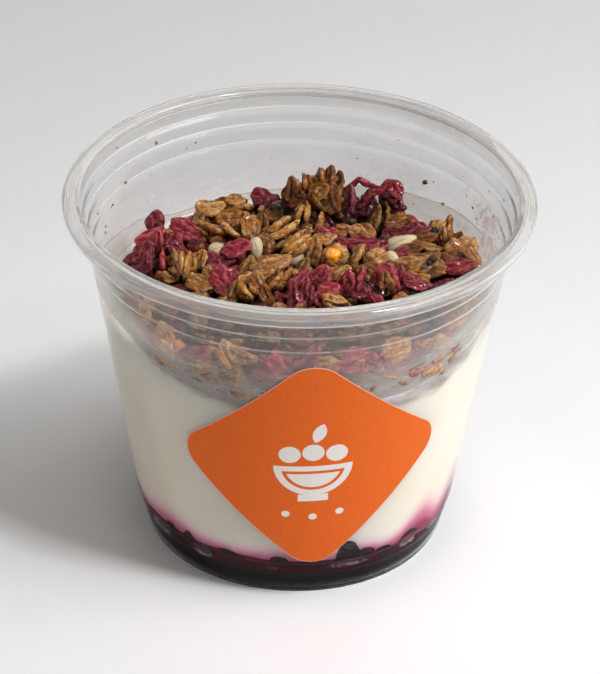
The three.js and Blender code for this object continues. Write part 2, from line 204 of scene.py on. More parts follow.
# The pieces that show, as read off two cuts of the picture, ENLARGED times, whose top left corners are at
# LEFT_CUT and RIGHT_CUT: kind, tone, place across and down, lift over the heap, distance behind the middle,
# swing, dip, roll, length and width. Places, lengths and widths are pixels of the cuts, and lift and distance
# are millimetres. A piece that stands up at the back has a distance and no lift; the others lie on the heap.
# Swing, dip and roll are degrees as the camera sees them: swing turns the long way from level, dip tips its
# end towards the eye and roll turns the face up from facing the eye.
ENLARGED = 5.81
LEFT_CUT = (90, 130)
RIGHT_CUT = (270, 130)
PIECES_LEFT = [
    # crimson cluster, left
    ("red", 0.35, 380, 525, 0, 13.5, 100, 10, -10, 120, 100),
    ("red", 0.55, 570, 590, 2.6, 0, -25, 0, 15, 215, 110),
    ("red", 0.8, 350, 622, 2.6, 0, 30, 0, 25, 175, 85),
    ("red", 0.9, 392, 650, 3.2, 0, 80, 10, 0, 130, 62),
    ("red", 0.4, 475, 650, 2.2, 0, 60, 0, 10, 130, 110),
    ("red", 0.2, 315, 705, 1.8, 0, 70, 0, 0, 130, 100),
    ("red", 0.15, 325, 775, 1.5, 0, 80, 0, 20, 110, 90),
    ("red", 0.65, 420, 770, 2.6, 0, 88, 8, 62, 150, 110),
    ("red", 0.2, 248, 745, 1.2, 0, 20, 0, 20, 80, 60),
    ("red", 0.1, 625, 672, 1.8, 0, -15, 0, 10, 120, 66),
    ("red", 0.3, 520, 700, 1.6, 0, -40, 0, 20, 130, 80),
    # brown cluster, back left
    ("oat", 0.75, 705, 455, 0, 19, 8, 0, 25, 165, 95),
    ("oat", 0.65, 845, 412, 0, 21, 0, 0, 30, 110, 70),
    ("oat", 0.45, 880, 452, 0, 20, 4, 0, 62, 160, 90),
    ("oat", 0.4, 830, 510, 2.6, 0, 12, 0, 20, 165, 105),
    ("oat", 0.6, 690, 520, 2.2, 0, -35, 0, 15, 100, 75),
    ("oat", 0.35, 640, 512, 1.6, 0, 50, 0, 20, 80, 60),
    ("dot", 0, 610, 548, 2, 0, 0, 0, 0, 40, 30),
    ("oat", 0.5, 725, 582, 2.6, 0, -20, 0, 62, 190, 90),
    ("oat", 0.8, 815, 592, 2.6, 0, -37, 0, 66, 140, 80),
    ("oat", 0.6, 930, 575, 2.8, 0, -80, 5, 5, 140, 100),
    ("oat", 0.3, 1010, 545, 2, 0, 85, 0, 30, 110, 70),
    ("oat", 0.25, 770, 440, 1.2, 0, 30, 0, 30, 120, 90),
    ("red", 0.25, 1008, 395, 0, 21, -30, 0, 10, 140, 100),
    ("red", 0.1, 1105, 412, 0, 21, 0, 0, 30, 40, 24),
    ("oat", 0.45, 1112, 490, 3.4, 0, 10, 0, 20, 165, 150),
    ("dot", 0, 1060, 445, 5.2, 0, 0, 0, 0, 45, 36),
    ("crumb", 0.9, 995, 455, 3.4, 0, 40, 0, 0, 40, 26),
    # tall cluster
    ("oat", 0.2, 1175, 340, 0, 14, 86, 0, 30, 140, 80),
    ("oat", 0.25, 1212, 352, 0, 14.5, 92, 5, 40, 125, 70),
    ("oat", 0.55, 1255, 312, 0, 15, 88, 0, 70, 120, 60),
    ("oat", 0.2, 1292, 330, 0, 16, 84, 0, 20, 110, 80),
    ("oat", 0.6, 1340, 272, 0, 16, 84, 0, 50, 110, 64),
    ("oat", 0.65, 1400, 262, 0, 16.5, 80, 0, 45, 110, 68),
    ("oat", 0.3, 1440, 302, 0, 16, 70, 0, 30, 115, 80),
    ("oat", 0.7, 1330, 360, 0, 13, 30, 10, 5, 125, 95),
    ("oat", 0.35, 1402, 368, 0, 13.5, 60, 5, 10, 130, 110),
    ("oat", 0.3, 1400, 430, 0, 12, -60, 10, 10, 135, 100),
    ("oat", 0.6, 1312, 420, 0, 12, -57, 5, 64, 145, 70),
    ("oat", 0.15, 1205, 405, 0, 13, 5, 0, 20, 140, 80),
    ("oat", 0.15, 1330, 470, 0, 13, 30, 0, 20, 150, 90),
    ("oat", 0.25, 1450, 380, 0, 15.5, 85, 0, 40, 120, 80),
    ("oat", 0.2, 1270, 385, 0, 14, 75, 0, 20, 120, 80),
    # upright stack before it
    ("oat", 0.5, 1210, 482, 4.2, 0, 58, 0, 55, 130, 80),
    ("oat", 0.55, 1262, 490, 4.4, 0, 80, 0, 62, 150, 80),
    ("oat", 0.4, 1297, 470, 4.2, 0, 84, 0, 66, 130, 70),
    ("oat", 0.55, 1333, 548, 3.6, 0, 66, 0, 58, 130, 70),
    ("red", 0.6, 1180, 470, 3, 0, 40, 0, 40, 80, 50),
    # tan diagonal stack
    ("oat", 0.7, 1093, 558, 3.3, 0, 38, 4, 62, 160, 75),
    ("oat", 0.95, 1133, 595, 3.5, 0, 33, -4, 66, 190, 80),
    ("oat", 0.8, 1173, 642, 3.4, 0, 37, 3, 64, 200, 80),
    ("oat", 1, 1196, 667, 3.3, 0, 31, -3, 66, 180, 75),
    ("oat", 0.75, 1231, 693, 3.1, 0, 35, 2, 62, 155, 75),
    ("oat", 0.3, 1240, 590, 2.8, 0, 20, 0, 40, 130, 80),
    ("oat", 0.3, 1018, 645, 2.4, 0, -15, 0, 20, 105, 75),
    ("seed", 0.55, 745, 690, 2.6, 0, 5, 0, 20, 105, 68),
    ("red", 0.7, 852, 690, 3, 0, 22, 0, 15, 165, 105),
    ("seed", 0.5, 965, 690, 2.2, 0, -80, 0, 10, 125, 70),
    ("red", 0.25, 720, 762, 2.2, 0, -35, 0, 20, 125, 80),
    ("red", 0.2, 800, 760, 1.4, 0, 0, 0, 30, 90, 60),
    # golden upright stack, left
    ("oat", 0.55, 492, 780, 2.6, 0, 80, 0, 50, 150, 80),
    ("oat", 0.7, 530, 790, 2.9, 0, 82, 0, 58, 170, 80),
    ("oat", 0.6, 565, 795, 2.9, 0, 80, 0, 60, 165, 80),
    ("oat", 0.5, 598, 790, 2.6, 0, 78, 0, 50, 150, 75),
    ("oat", 0.65, 643, 750, 2.6, 0, 75, 5, 15, 110, 75),
    ("oat", 0.4, 640, 892, 2, 0, -20, 0, 20, 155, 95),
    ("oat", 0.35, 455, 862, 1.4, 0, -20, 0, 20, 90, 50),
    ("oat", 0.4, 700, 840, 1.4, 0, -50, 0, 20, 110, 70),
    ("red", 0.6, 772, 870, 2.8, 0, -55, 5, 5, 155, 125),
    ("red", 0.3, 790, 942, 1.6, 0, 0, 0, 30, 120, 50),
    ("oat", 0.55, 1055, 782, 3, 0, 15, 0, 30, 220, 125),
    ("oat", 0.4, 920, 790, 2.4, 0, 60, 0, 20, 120, 80),
    ("oat", 0.75, 910, 862, 2.4, 0, 20, 0, 25, 90, 66),
    ("oat", 0.5, 852, 920, 2.4, 0, 72, 0, 20, 120, 66),
    ("oat", 0.7, 900, 932, 2.6, 0, -55, 0, 60, 120, 70),
    ("oat", 0.35, 975, 900, 2.8, 0, -58, 5, 15, 140, 90),
    ("oat", 0.15, 1022, 960, 2.2, 0, -62, 0, 10, 120, 66),
    ("oat", 0.45, 990, 850, 2.2, 0, 10, 0, 20, 105, 66),
    ("oat", 0.6, 1082, 880, 2.4, 0, 45, 0, 62, 130, 70),
    ("oat", 0.5, 1130, 860, 2.6, 0, 42, 0, 60, 120, 66),
    ("oat", 0.4, 1190, 830, 2.2, 0, -30, 0, 50, 90, 60),
    ("oat", 0.3, 1060, 850, 1.6, 0, 20, 0, 20, 110, 80),
    ("seed", 0.3, 1200, 742, 1.8, 0, 20, 0, 20, 95, 84),
    ("dot", 0, 1160, 800, 2.2, 0, 0, 0, 0, 44, 34),
    # crimson cluster, middle front
    ("red", 0.75, 1215, 870, 3, 0, 40, 5, 30, 150, 75),
    ("red", 0.55, 1345, 850, 3.8, 0, 60, 5, 0, 140, 115),
    ("red", 0.95, 1390, 930, 3.4, 0, 18, 10, 10, 125, 95),
    ("red", 0.3, 1180, 940, 2.4, 0, 80, 0, 30, 130, 66),
    ("red", 0.45, 1250, 930, 2.8, 0, 68, 0, 40, 130, 60),
    ("red", 0.4, 1285, 965, 2.6, 0, 80, 0, 45, 110, 56),
    ("red", 0.5, 1330, 985, 2.2, 0, -60, 0, 20, 90, 66),
    ("red", 0.2, 1290, 880, 2, 0, 30, 0, 20, 130, 80),
    ("red", 0.25, 1400, 985, 1.6, 0, 0, 0, 20, 120, 60),
    ("red", 0.5, 1220, 985, 2, 0, -70, 0, 30, 90, 50),
    ("oat", 0.6, 1300, 710, 3, 0, 76, 5, 20, 165, 95),
    ("lump", 0.7, 1422, 732, 2.8, 0, 10, 0, 0, 160, 125),
    ("amber", 0.9, 1410, 728, 3.7, 0, 60, 0, 0, 84, 80),
    ("oat", 0.65, 1365, 640, 3, 0, 8, 0, 40, 130, 85),
    ("red", 0.45, 1382, 540, 3.2, 0, 110, 0, 10, 120, 62),
    ("red", 0.85, 1392, 592, 3.2, 0, 10, 0, 20, 85, 60),
    ("oat", 0.65, 1440, 832, 2.2, 0, 20, 0, 20, 100, 76),
    ("oat", 0.7, 1420, 985, 2.6, 0, -16, 5, 30, 140, 56),
    ("oat", 0.3, 1240, 800, 1.8, 0, 60, 0, 30, 120, 70),
]
PIECES_RIGHT = [
    # right half
    ("red", 0.25, 450, 420, 0, 14.5, 75, 0, 20, 190, 90),
    ("red", 0.35, 560, 440, 0, 15, 60, 0, 10, 130, 90),
    ("red", 0.15, 520, 460, 0, 15.5, 30, 0, 20, 150, 80),
    ("red", 0.3, 420, 535, 0, 12, 45, 0, 30, 110, 50),
    ("dot", 0, 475, 535, 3.6, 0, 0, 0, 0, 60, 34),
    ("dot", 0, 600, 412, 0, 15, 0, 0, 0, 40, 30),
    ("red", 0.35, 680, 340, 0, 18, 60, 0, 10, 110, 80),
    ("red", 0.45, 735, 350, 0, 17.5, -50, 0, 10, 110, 80),
    ("red", 0.3, 700, 400, 0, 17.5, 10, 0, 0, 120, 80),
    ("red", 0.5, 742, 432, 0, 17, 80, 0, 20, 95, 66),
    ("oat", 0.6, 430, 582, 2.8, 0, 8, 0, 15, 95, 74),
    ("oat", 0.65, 512, 590, 2.8, 0, -10, 0, 15, 95, 86),
    ("oat", 0.4, 562, 615, 2.4, 0, -25, 0, 30, 80, 50),
    ("oat", 0.5, 608, 520, 3.2, 0, 72, 5, 20, 155, 74),
    ("oat", 0.55, 672, 500, 3.6, 0, 80, 0, 50, 140, 74),
    ("oat", 0.5, 650, 470, 3, 0, 60, 0, 30, 100, 66),
    ("oat", 0.55, 742, 510, 3.2, 0, 18, 0, 30, 110, 66),
    ("oat", 0.4, 735, 552, 2.6, 0, 8, 0, 30, 120, 60),
    ("red", 0.2, 790, 580, 2.4, 0, 20, 0, 20, 150, 74),
    ("red", 0.3, 880, 578, 2.4, 0, -10, 0, 20, 130, 76),
    ("red", 0.1, 720, 600, 1.6, 0, 10, 0, 20, 130, 60),
    ("seed", 0.95, 757, 655, 2.8, 0, 22, 0, 20, 185, 80),
    ("seed", 0.8, 715, 745, 2.2, 0, -35, 0, 20, 95, 60),
    ("red", 0.4, 540, 668, 2.4, 0, 4, 0, 25, 180, 95),
    ("red", 0.3, 620, 672, 2.2, 0, 0, 0, 25, 130, 90),
    ("red", 0.35, 440, 660, 2, 0, -15, 0, 30, 110, 66),
    ("dot", 0, 662, 632, 3, 0, 0, 0, 0, 50, 34),
    ("oat", 0.45, 925, 682, 2.6, 0, -12, 0, 50, 175, 100),
    ("oat", 0.6, 1000, 742, 2.2, 0, -15, 0, 40, 100, 56),
    ("red", 0.35, 765, 712, 2.4, 0, 8, 0, 20, 90, 54),
    ("lump", 0.65, 610, 752, 2.4, 0, 25, 0, 0, 150, 112),
    ("oat", 0.6, 500, 742, 3.2, 0, 58, 0, 55, 180, 70),
    ("oat", 0.55, 520, 705, 3.4, 0, 60, 0, 30, 80, 44),
    ("oat", 0.5, 412, 835, 2.4, 0, 30, 0, 25, 130, 80),
    ("red", 0.5, 450, 890, 3, 0, 78, 5, 20, 155, 90),
    ("red", 0.75, 517, 880, 3.2, 0, 76, 5, 58, 175, 80),
    ("oat", 0.5, 880, 780, 2.6, 0, 5, 0, 25, 170, 130),
    ("oat", 0.6, 810, 792, 2.5, 0, 10, 0, 25, 140, 110),
    ("oat", 0.45, 950, 800, 2.4, 0, -20, 0, 25, 140, 130),
    ("oat", 0.55, 860, 858, 2.4, 0, -12, 0, 30, 150, 74),
    ("oat", 0.4, 930, 745, 3, 0, 20, 0, 30, 120, 80),
    ("dot", 0, 945, 750, 4.4, 0, 0, 0, 0, 50, 40),
    ("dot", 0, 925, 775, 4.4, 0, 0, 0, 0, 34, 30),
    ("red", 0.6, 672, 870, 3.4, 0, 75, 5, 5, 185, 160),
    ("oat", 0.25, 665, 868, 4.6, 0, 85, 5, 5, 110, 56),
    ("red", 0.35, 742, 852, 2.6, 0, 60, 0, 10, 120, 90),
    ("red", 0.4, 840, 890, 2.2, 0, -22, 0, 20, 140, 80),
    ("red", 0.5, 790, 870, 2.2, 0, 60, 0, 20, 80, 60),
    ("red", 0.6, 560, 940, 2, 0, 80, 0, 20, 70, 50),
    ("red", 0.25, 570, 975, 1.4, 0, 0, 0, 20, 130, 50),
    ("red", 0.3, 600, 930, 1.6, 0, -30, 0, 20, 90, 60),
    ("oat", 0.55, 1042, 600, 0, 10.6, 90, 0, 58, 190, 66),
    ("oat", 0.85, 980, 552, 3.2, 0, 10, 0, 20, 80, 60),
    ("dot", 0, 955, 590, 3, 0, 0, 0, 0, 40, 50),
    ("oat", 0.4, 1000, 612, 2.6, 0, 85, 0, 40, 110, 60),
    ("lump", 0.6, 1072, 692, 3, 0, 20, 0, 0, 115, 110),
    ("lump", 0.55, 1140, 682, 3, 0, -30, 0, 0, 130, 120),
    ("oat", 0.65, 1182, 738, 2.6, 0, -50, 0, 20, 120, 66),
    ("oat", 0.35, 1030, 740, 2, 0, -20, 0, 20, 80, 50),
    ("red", 0.4, 1100, 792, 2.4, 0, 12, 0, 25, 200, 85),
    ("red", 0.25, 1040, 800, 1.8, 0, -40, 0, 20, 110, 70),
    ("oat", 0.3, 1090, 640, 2.2, 0, 60, 0, 20, 100, 70),
    ("oat", 0.3, 820, 700, 1.8, 0, 10, 0, 20, 130, 80),
    ("oat", 0.3, 900, 630, 1.8, 0, 10, 0, 20, 130, 80),
]
# Behind FAR_START and past FAR_REACH of the way to its edge, the camera looks along the heap, so pieces there
# lie at FAR_LEVEL instead, raised by FAR_LIFT of their lift.
FAR_REACH = 0.86
FAR_START = -6
FAR_LEVEL = 58.3
FAR_LIFT = 0.35
# How far before and behind the aim the camera's lines are followed, and in how many steps.
LOOKED_ALONG = 120
LOOKS = 12001


# ---- settings that a user would change -----------------------------------------------------------
def paint(red, green, blue):
    """A colour given as 0 to 255 on screen, as the linear values that the shaders take."""
    screen = np.array([red, green, blue]) / 255
    linear = np.where(screen <= 0.04045, screen / 12.92, ((screen + 0.055) / 1.055) ** 2.4)
    return tuple(float(v) for v in linear)


def colour_of(name, description, red, green, blue):
    shade = paint(red, green, blue)
    return FloatVectorProperty(
        name=name, description=description, subtype="COLOR", size=3, min=0, max=1, default=shade
    )


def setting(kind, name, description, default, low=0, **more):
    return kind(name=name, description=description, default=default, min=low, **more)


class YogurtCupSizes(bpy.types.PropertyGroup):
    """How finely the cup is made and how much lies in it"""

    sides: setting(IntProperty, "Sides", "Facets round the cup", 224, 24, max=256)
    film: setting(
        FloatProperty, "Film", "How much the wall is clouded over the yogurt", 1, max=2, subtype="FACTOR"
    )
    oat_length: setting(
        FloatProperty, "Oat flake", "Length of a loose oat flake", 0.0068, 0.003, max=0.012, unit="LENGTH"
    )
    loose_flakes: setting(IntProperty, "Loose flakes", "Flakes between the clusters", 150, max=400)
    wall_flakes: setting(IntProperty, "Flakes at the wall", "Flakes against the wall", 230, max=300)
    crumb_density: setting(
        FloatProperty, "Crumbs", "Crumbs on each square centimetre of the heap", 16, max=60
    )
    seed: setting(IntProperty, "Seed", "Changes where the loose pieces fall", 7)


class YogurtCupColours(bpy.types.PropertyGroup):
    """Colours of the cup's fillings and label"""

    plastic: colour_of("Plastic", "Tint of the clear wall", 231, 231, 230)
    cream: colour_of("Yogurt", "Plain yogurt", 238, 231, 219)
    stain: colour_of("Stain", "Yogurt where berry juice has reached it", 192, 96, 126)
    juice: colour_of("Juice", "Compote, seen through the wall", 66, 12, 24)
    berry: colour_of("Berries", "Dark berries in the compote", 26, 14, 20)
    # The dark oat and fruit colours are also painted shade, on the core, the loose flakes and the fillers in
    # the heap's gaps.
    oat_light: colour_of("Light oats", "Dry faces of the oat flakes", 226, 162, 94)
    oat_dark: colour_of("Dark oats", "Glazed hollows of the oat flakes", 84, 38, 8)
    fruit_light: colour_of("Light fruit", "Dusty edges of the dried berries", 224, 124, 126)
    fruit_dark: colour_of("Dark fruit", "Hollows of the dried berries", 70, 8, 18)
    seed_pale: colour_of("Seeds", "Shelled sunflower seeds", 214, 196, 158)
    label: colour_of("Label", "Printed ground of the label", 238, 109, 32)
    print: colour_of("Print", "Shapes printed on the label", 244, 240, 234)


class YogurtCupStage(bpy.types.PropertyGroup):
    """Light and floor of the studio"""

    key: setting(FloatProperty, "Key light", "Power of the large light", 2.45, unit="POWER")
    spark: setting(FloatProperty, "Small light", "Power of the small light", 1.8, unit="POWER")
    fill: setting(FloatProperty, "Fill light", "Power of the strip on the left", 0.25, unit="POWER")
    room: setting(FloatProperty, "Room light", "Light from all round", 0.205, max=2)
    tent: setting(FloatProperty, "Tent", "Brightness of the white walls in reflections", 0.82, max=2)
    floor: colour_of("Floor", "Pale studio floor", 247, 247, 247)


# ---- shader maths --------------------------------------------------------------------------------
class Wire:
    """One output socket of a material's nodes; arithmetic on it adds Math nodes."""

    def __init__(self, board, socket):
        self.board = board
        self.socket = socket

    def _sum(self, operation, *values):
        sockets = dict(enumerate(values))
        return self.board.add("ShaderNodeMath", {"operation": operation}, sockets)

    def __add__(self, other):
        return self._sum("ADD", self, other)

    def __sub__(self, other):
        return self._sum("SUBTRACT", self, other)

    def __mul__(self, other):
        return self._sum("MULTIPLY", self, other)

    def __truediv__(self, other):
        return self._sum("DIVIDE", self, other)

    def __pow__(self, other):
        return self._sum("POWER", self, other)

    def __neg__(self):
        return self._sum("MULTIPLY", self, -1)

    def __abs__(self):
        return self._sum("ABSOLUTE", self)

    def __radd__(self, other):
        return self._sum("ADD", other, self)

    def __rsub__(self, other):
        return self._sum("SUBTRACT", other, self)

    def __rmul__(self, other):
        return self._sum("MULTIPLY", other, self)

    def __rtruediv__(self, other):
        return self._sum("DIVIDE", other, self)

    def larger(self, other):
        return self._sum("MAXIMUM", self, other)

    def smaller(self, other):
        return self._sum("MINIMUM", self, other)

    def from_to(self, low, high):
        """0 below low, 1 above high and smooth between; low may be the larger."""
        sockets = {"Value": self, 1: low, 2: high}
        return self.board.add("ShaderNodeMapRange", {"interpolation_type": "SMOOTHSTEP"}, sockets, "Result")


class Board:
    """The nodes of one material."""

    def __init__(self, name):
        self.material = bpy.data.materials.new(name)
        self.material.use_nodes = True
        self.tree = self.material.node_tree
        self.tree.nodes.clear()

    def add(self, kind, settings=None, sockets=None, out=0):
        """Adds a node: its settings, then its sockets' values or links. Gives the output asked for."""
        node = self.tree.nodes.new(kind)
        for name, value in (settings or {}).items():
            setattr(node, name, value)
        for name, value in (sockets or {}).items():
            socket = node.inputs[name]
            if isinstance(value, Wire):
                self.tree.links.new(value.socket, socket)
            elif isinstance(value, (tuple, list)) and len(value) == 3 and len(socket.default_value) == 4:
                socket.default_value = (*value, 1)
            else:
                socket.default_value = value
        if isinstance(out, tuple):
            return tuple(Wire(self, node.outputs[name]) for name in out)
        return Wire(self, node.outputs[out])

    def place(self):
        """Object coordinates in millimetres."""
        spot = self.add("ShaderNodeTexCoord", out="Object")
        return self.add("ShaderNodeVectorMath", {"operation": "SCALE"}, {0: spot, "Scale": 1 / MM})

    def height(self, spot):
        return self.add("ShaderNodeSeparateXYZ", None, {0: spot}, "Z")

    def layer(self, name, out="Fac"):
        return self.add("ShaderNodeAttribute", {"attribute_name": name}, out=out)

    def stretched(self, vector, across, along, up):
        sockets = {0: vector, 1: (across, along, up)}
        return self.add("ShaderNodeVectorMath", {"operation": "MULTIPLY"}, sockets)

    def noise(self, vector, scale, detail=3, rough=0.55):
        sockets = {"Vector": vector, "Scale": scale, "Detail": detail, "Roughness": rough}
        return self.add("ShaderNodeTexNoise", None, sockets, "Fac")

    def mix(self, first, second, amount):
        return self.add("ShaderNodeMix", {"data_type": "RGBA"}, {0: amount, 6: first, 7: second}, 2)

    def coats(self, ground, *coats):
        """Coats over a ground: each is a colour, as 0 to 255 or a wire, and how much of it covers."""
        for colour, amount in coats:
            ground = self.mix(ground, colour if isinstance(colour, Wire) else paint(*colour), amount)
        return ground

    def bump(self, height, depth, strength=1):
        """A normal from a height of 0 to 1 that stands for a depth in millimetres."""
        sockets = {"Height": height, "Distance": depth * MM, "Strength": strength}
        return self.add("ShaderNodeBump", None, sockets, "Normal")

    def surface(self, colour, rough, sockets):
        """The standard surface, from its colour, its roughness and its other sockets."""
        sockets = {"Base Color": colour, "Roughness": rough, **sockets}
        return self.add("ShaderNodeBsdfPrincipled", None, sockets)

    def blend(self, amount, first, second):
        return self.add("ShaderNodeMixShader", None, {0: amount, 1: first, 2: second})

    def finish(self, shader):
        end = self.tree.nodes.new("ShaderNodeOutputMaterial")
        self.tree.links.new(shader.socket, end.inputs["Surface"])
        return self.material


# ---- finishes ------------------------------------------------------------------------------------
PLASTIC_IOR = 1.47
WETTED_IOR = 1.09
PLASTIC_SHADOW = (0.9, 0.905, 0.9)


def clear_plastic(colours):
    """Moulded clear plastic, dulled by handling, milky at its lip, with painted highlights as milky lines
    along its creases, without gloss where compote wets it.
    """
    board = Board("clear_plastic")
    spot = board.place()
    height = board.height(spot)
    drift = board.noise(board.stretched(spot, 1, 1, 1.6), 0.05, 2).from_to(0.35, 0.7)
    # Here this mask only dulls the plastic; it paints no shade.
    dulled_and_painted_shade = board.noise(board.stretched(spot, 1, 1, 7), 0.2, 4).from_to(0.45, 0.75)
    waves = board.noise(spot, 0.05, 1)
    smeared = height.from_to(47, 52) * height.from_to(64, 57)
    lip = height.from_to(70.6, 72.4)
    level = board.stretched(spot, 1, 1, 0)
    across = board.add("ShaderNodeVectorMath", {"operation": "LENGTH"}, {0: level}, "Value")
    # Painted highlight: thin milky lines along the creases stand in for the light that they catch.
    seam_highlights = 0
    for radius, rise, width, strength in SEAM_HIGHLIGHTS:
        beside = across - radius
        above = height - rise
        away = (beside * beside + above * above) ** 0.5
        seam_highlights = seam_highlights + away.from_to(width, 0.15 * width) * strength
    tint = board.mix(tuple(colours.plastic), paint(214, 216, 217), 0.5 * drift)
    tint = board.mix(paint(245, 245, 244), tint, height.from_to(48, 58))
    dull = 0.03 + 0.04 * drift + smeared * (0.09 + 0.2 * dulled_and_painted_shade) + 0.03 * lip
    through = {"Transmission Weight": 1.0}
    clear = board.surface(tint, dull, {**through, "IOR": PLASTIC_IOR, "Normal": board.bump(waves, 0.05, 0.3)})
    wetted = board.surface(tint, 0.08 + 0.06 * drift, {**through, "IOR": WETTED_IOR})
    milk = board.surface(paint(240, 237, 233), 0.5 + 0.2 * drift, {"Specular IOR Level": 0.2})
    glassy = board.blend(height.from_to(8.5, 15), wetted, clear)
    haze = height.from_to(16, 50) * (0.04 + 0.03 * drift) + smeared * 0.08 * dulled_and_painted_shade + 0.03 * lip
    haze = haze + seam_highlights * (0.45 + 0.55 * drift)
    shadow = board.add("ShaderNodeLightPath", out="Is Shadow Ray")
    passed = board.add("ShaderNodeBsdfTransparent", None, {"Color": PLASTIC_SHADOW})
    return board.finish(board.blend(shadow, board.blend(haze, glassy, milk), passed))


def smooth_yogurt(colours):
    """Plain yogurt with juice risen into its foot, a grey band at its upper edge, and its top under the heap
    painted grey as shade.
    """
    board = Board("yogurt")
    spot = board.place()
    cloud = board.noise(spot, 0.11, 3)
    grain = board.noise(spot, 0.9, 4)
    stain = board.layer("stain") * (0.72 + 0.6 * cloud)
    dulled_and_painted_shade = board.layer("dulled_and_painted_shade")
    drag = board.noise(board.stretched(spot, 1, 1, 2.4), 0.16, 3)
    streak = board.noise(board.stretched(spot, 1, 1, 3), 0.5, 3).from_to(0.735, 0.8)
    pink = board.mix(paint(226, 168, 184), tuple(colours.stain), stain.from_to(0.3, 0.75))
    pink = board.mix(pink, paint(142, 36, 68), stain.from_to(0.72, 1.05))
    grey = board.mix(paint(204, 190, 182), paint(148, 130, 122), drag.from_to(0.34, 0.68))
    whole = board.coats(
        tuple(colours.cream),
        ((238, 228, 212), cloud.from_to(0.3, 0.75)),
        ((222, 150, 176), 0.55 * streak),
        (pink, stain.from_to(0.04, 0.5)),
        # Grey band at the upper edge, and painted shade on the top under the heap.
        (grey, (dulled_and_painted_shade * (0.5 + 0.9 * drag)).smaller(0.95)),
    )
    return board.finish(board.surface(whole, 0.34 + 0.18 * grain, {
        "Specular IOR Level": 0.25, "Normal": board.bump(grain, 0.08, 0.5),
        "Subsurface Weight": 0.9, "Subsurface Radius": (1.0, 0.82, 0.66), "Subsurface Scale": 0.012,
    }))


def wet_compote(colours):
    """Dark juice with darker berries against the wall and grey pockets of air; painted near black towards the
    foot and lighter and redder upwards as light, with a painted highlight along the pockets' lower edges.
    """
    board = Board("compote")
    spot = board.place()
    height = board.height(spot)
    lumps = board.noise(spot, 0.32, 3)
    grain = board.noise(spot, 1.4, 3)
    pocket = board.layer("pocket")
    berry = board.layer("berry")
    glint = board.layer("glint")
    # Painted light: near black low down, the juice's colour higher up and redder at the top, as if lit from
    # above.
    lit = height.from_to(5.3, 6.4) * (0.25 + 0.75 * lumps.from_to(0.4, 0.6))
    flesh = board.mix(paint(16, 8, 11), tuple(colours.juice), lit)
    skin_light = grain.from_to(0.5, 0.62) * lumps.from_to(0.44, 0.6)
    skin = board.mix(tuple(colours.berry), paint(74, 22, 34), skin_light)
    air = board.mix(paint(62, 34, 44), paint(104, 86, 92), grain.from_to(0.35, 0.7))
    whole = board.coats(
        flesh,
        ((124, 30, 52), lit * height.from_to(7.6, 9.6) * 0.7),
        ((26, 16, 22), lumps.from_to(0.54, 0.64) * 0.8),
        (skin, berry),
        (air, pocket * (0.45 + 0.4 * lumps)),
        # Painted highlight along the lower edge of each pocket.
        ((160, 142, 150), glint * grain.from_to(0.4, 0.65) * 0.7),
    )
    return board.finish(board.surface(whole, 0.3 + 0.25 * pocket + 0.12 * grain, {
        "Specular IOR Level": 0.1, "Normal": board.bump(lumps + 0.3 * grain, 0.3, 0.6),
    }))


def wall_film(clouding):
    """Thin yogurt left on the wall, with a brown line where it ends, pink drags and a light veil over it."""
    board = Board("wall_film")
    spot = board.place()
    over = board.layer("over")
    pinkish = board.layer("pinkish")
    front = board.layer("front")
    blotch = board.noise(spot, 0.16, 4)
    drag = board.noise(board.stretched(spot, 1, 1, 2.2), 0.17, 4, 0.5)
    soft = board.noise(spot, 0.1, 2)
    fleck = board.noise(spot, 0.75, 3)
    hazy = board.layer("hazy")
    line = abs(over).from_to(0.26, 0.05)
    below = over.from_to(0.3, -0.3)
    veil = over.from_to(11, 0) * (0.05 + 0.1 * drag)
    smear = front * (0.44 + 0.9 * drag.from_to(0.42, 0.7) * soft.from_to(0.3, 0.6)) * over.from_to(9, -0.5)
    smear = smear + front * 0.6 * over.from_to(4.4, 0.4) + hazy * over.from_to(10, 0.5) * (0.9 + 1.0 * soft)
    drops = fleck.from_to(0.73, 0.77) * over.from_to(12, 2) * 0.5
    pink = pinkish * (blotch * 0.5 + fleck * 0.6).from_to(0.5, 0.68)
    edge = (0.3 * line + 0.3 * below) * (1 - front)
    cover = below * (0.5 + 0.5 * blotch) + veil + smear + edge + drops + 0.5 * pink
    skin = board.coats(
        paint(240, 230, 220),
        ((218, 204, 198), drag.from_to(0.35, 0.7)),
        ((212, 196, 188), front * over.from_to(5.5, 0.4)),
        ((206, 120, 132), pink),
        ((186, 140, 112), line * (1 - front) * 0.8),
    )
    return board.finish(board.surface(skin, 0.5 + 0.2 * blotch, {
        "Specular IOR Level": 0.3, "Normal": board.bump(drag, 0.06, 0.4),
        "Subsurface Weight": 0.8, "Subsurface Radius": (1.0, 1.0, 1.0), "Subsurface Scale": 0.002,
        "Alpha": cover.smaller(0.95) * 0.66 * clouding,
    }))


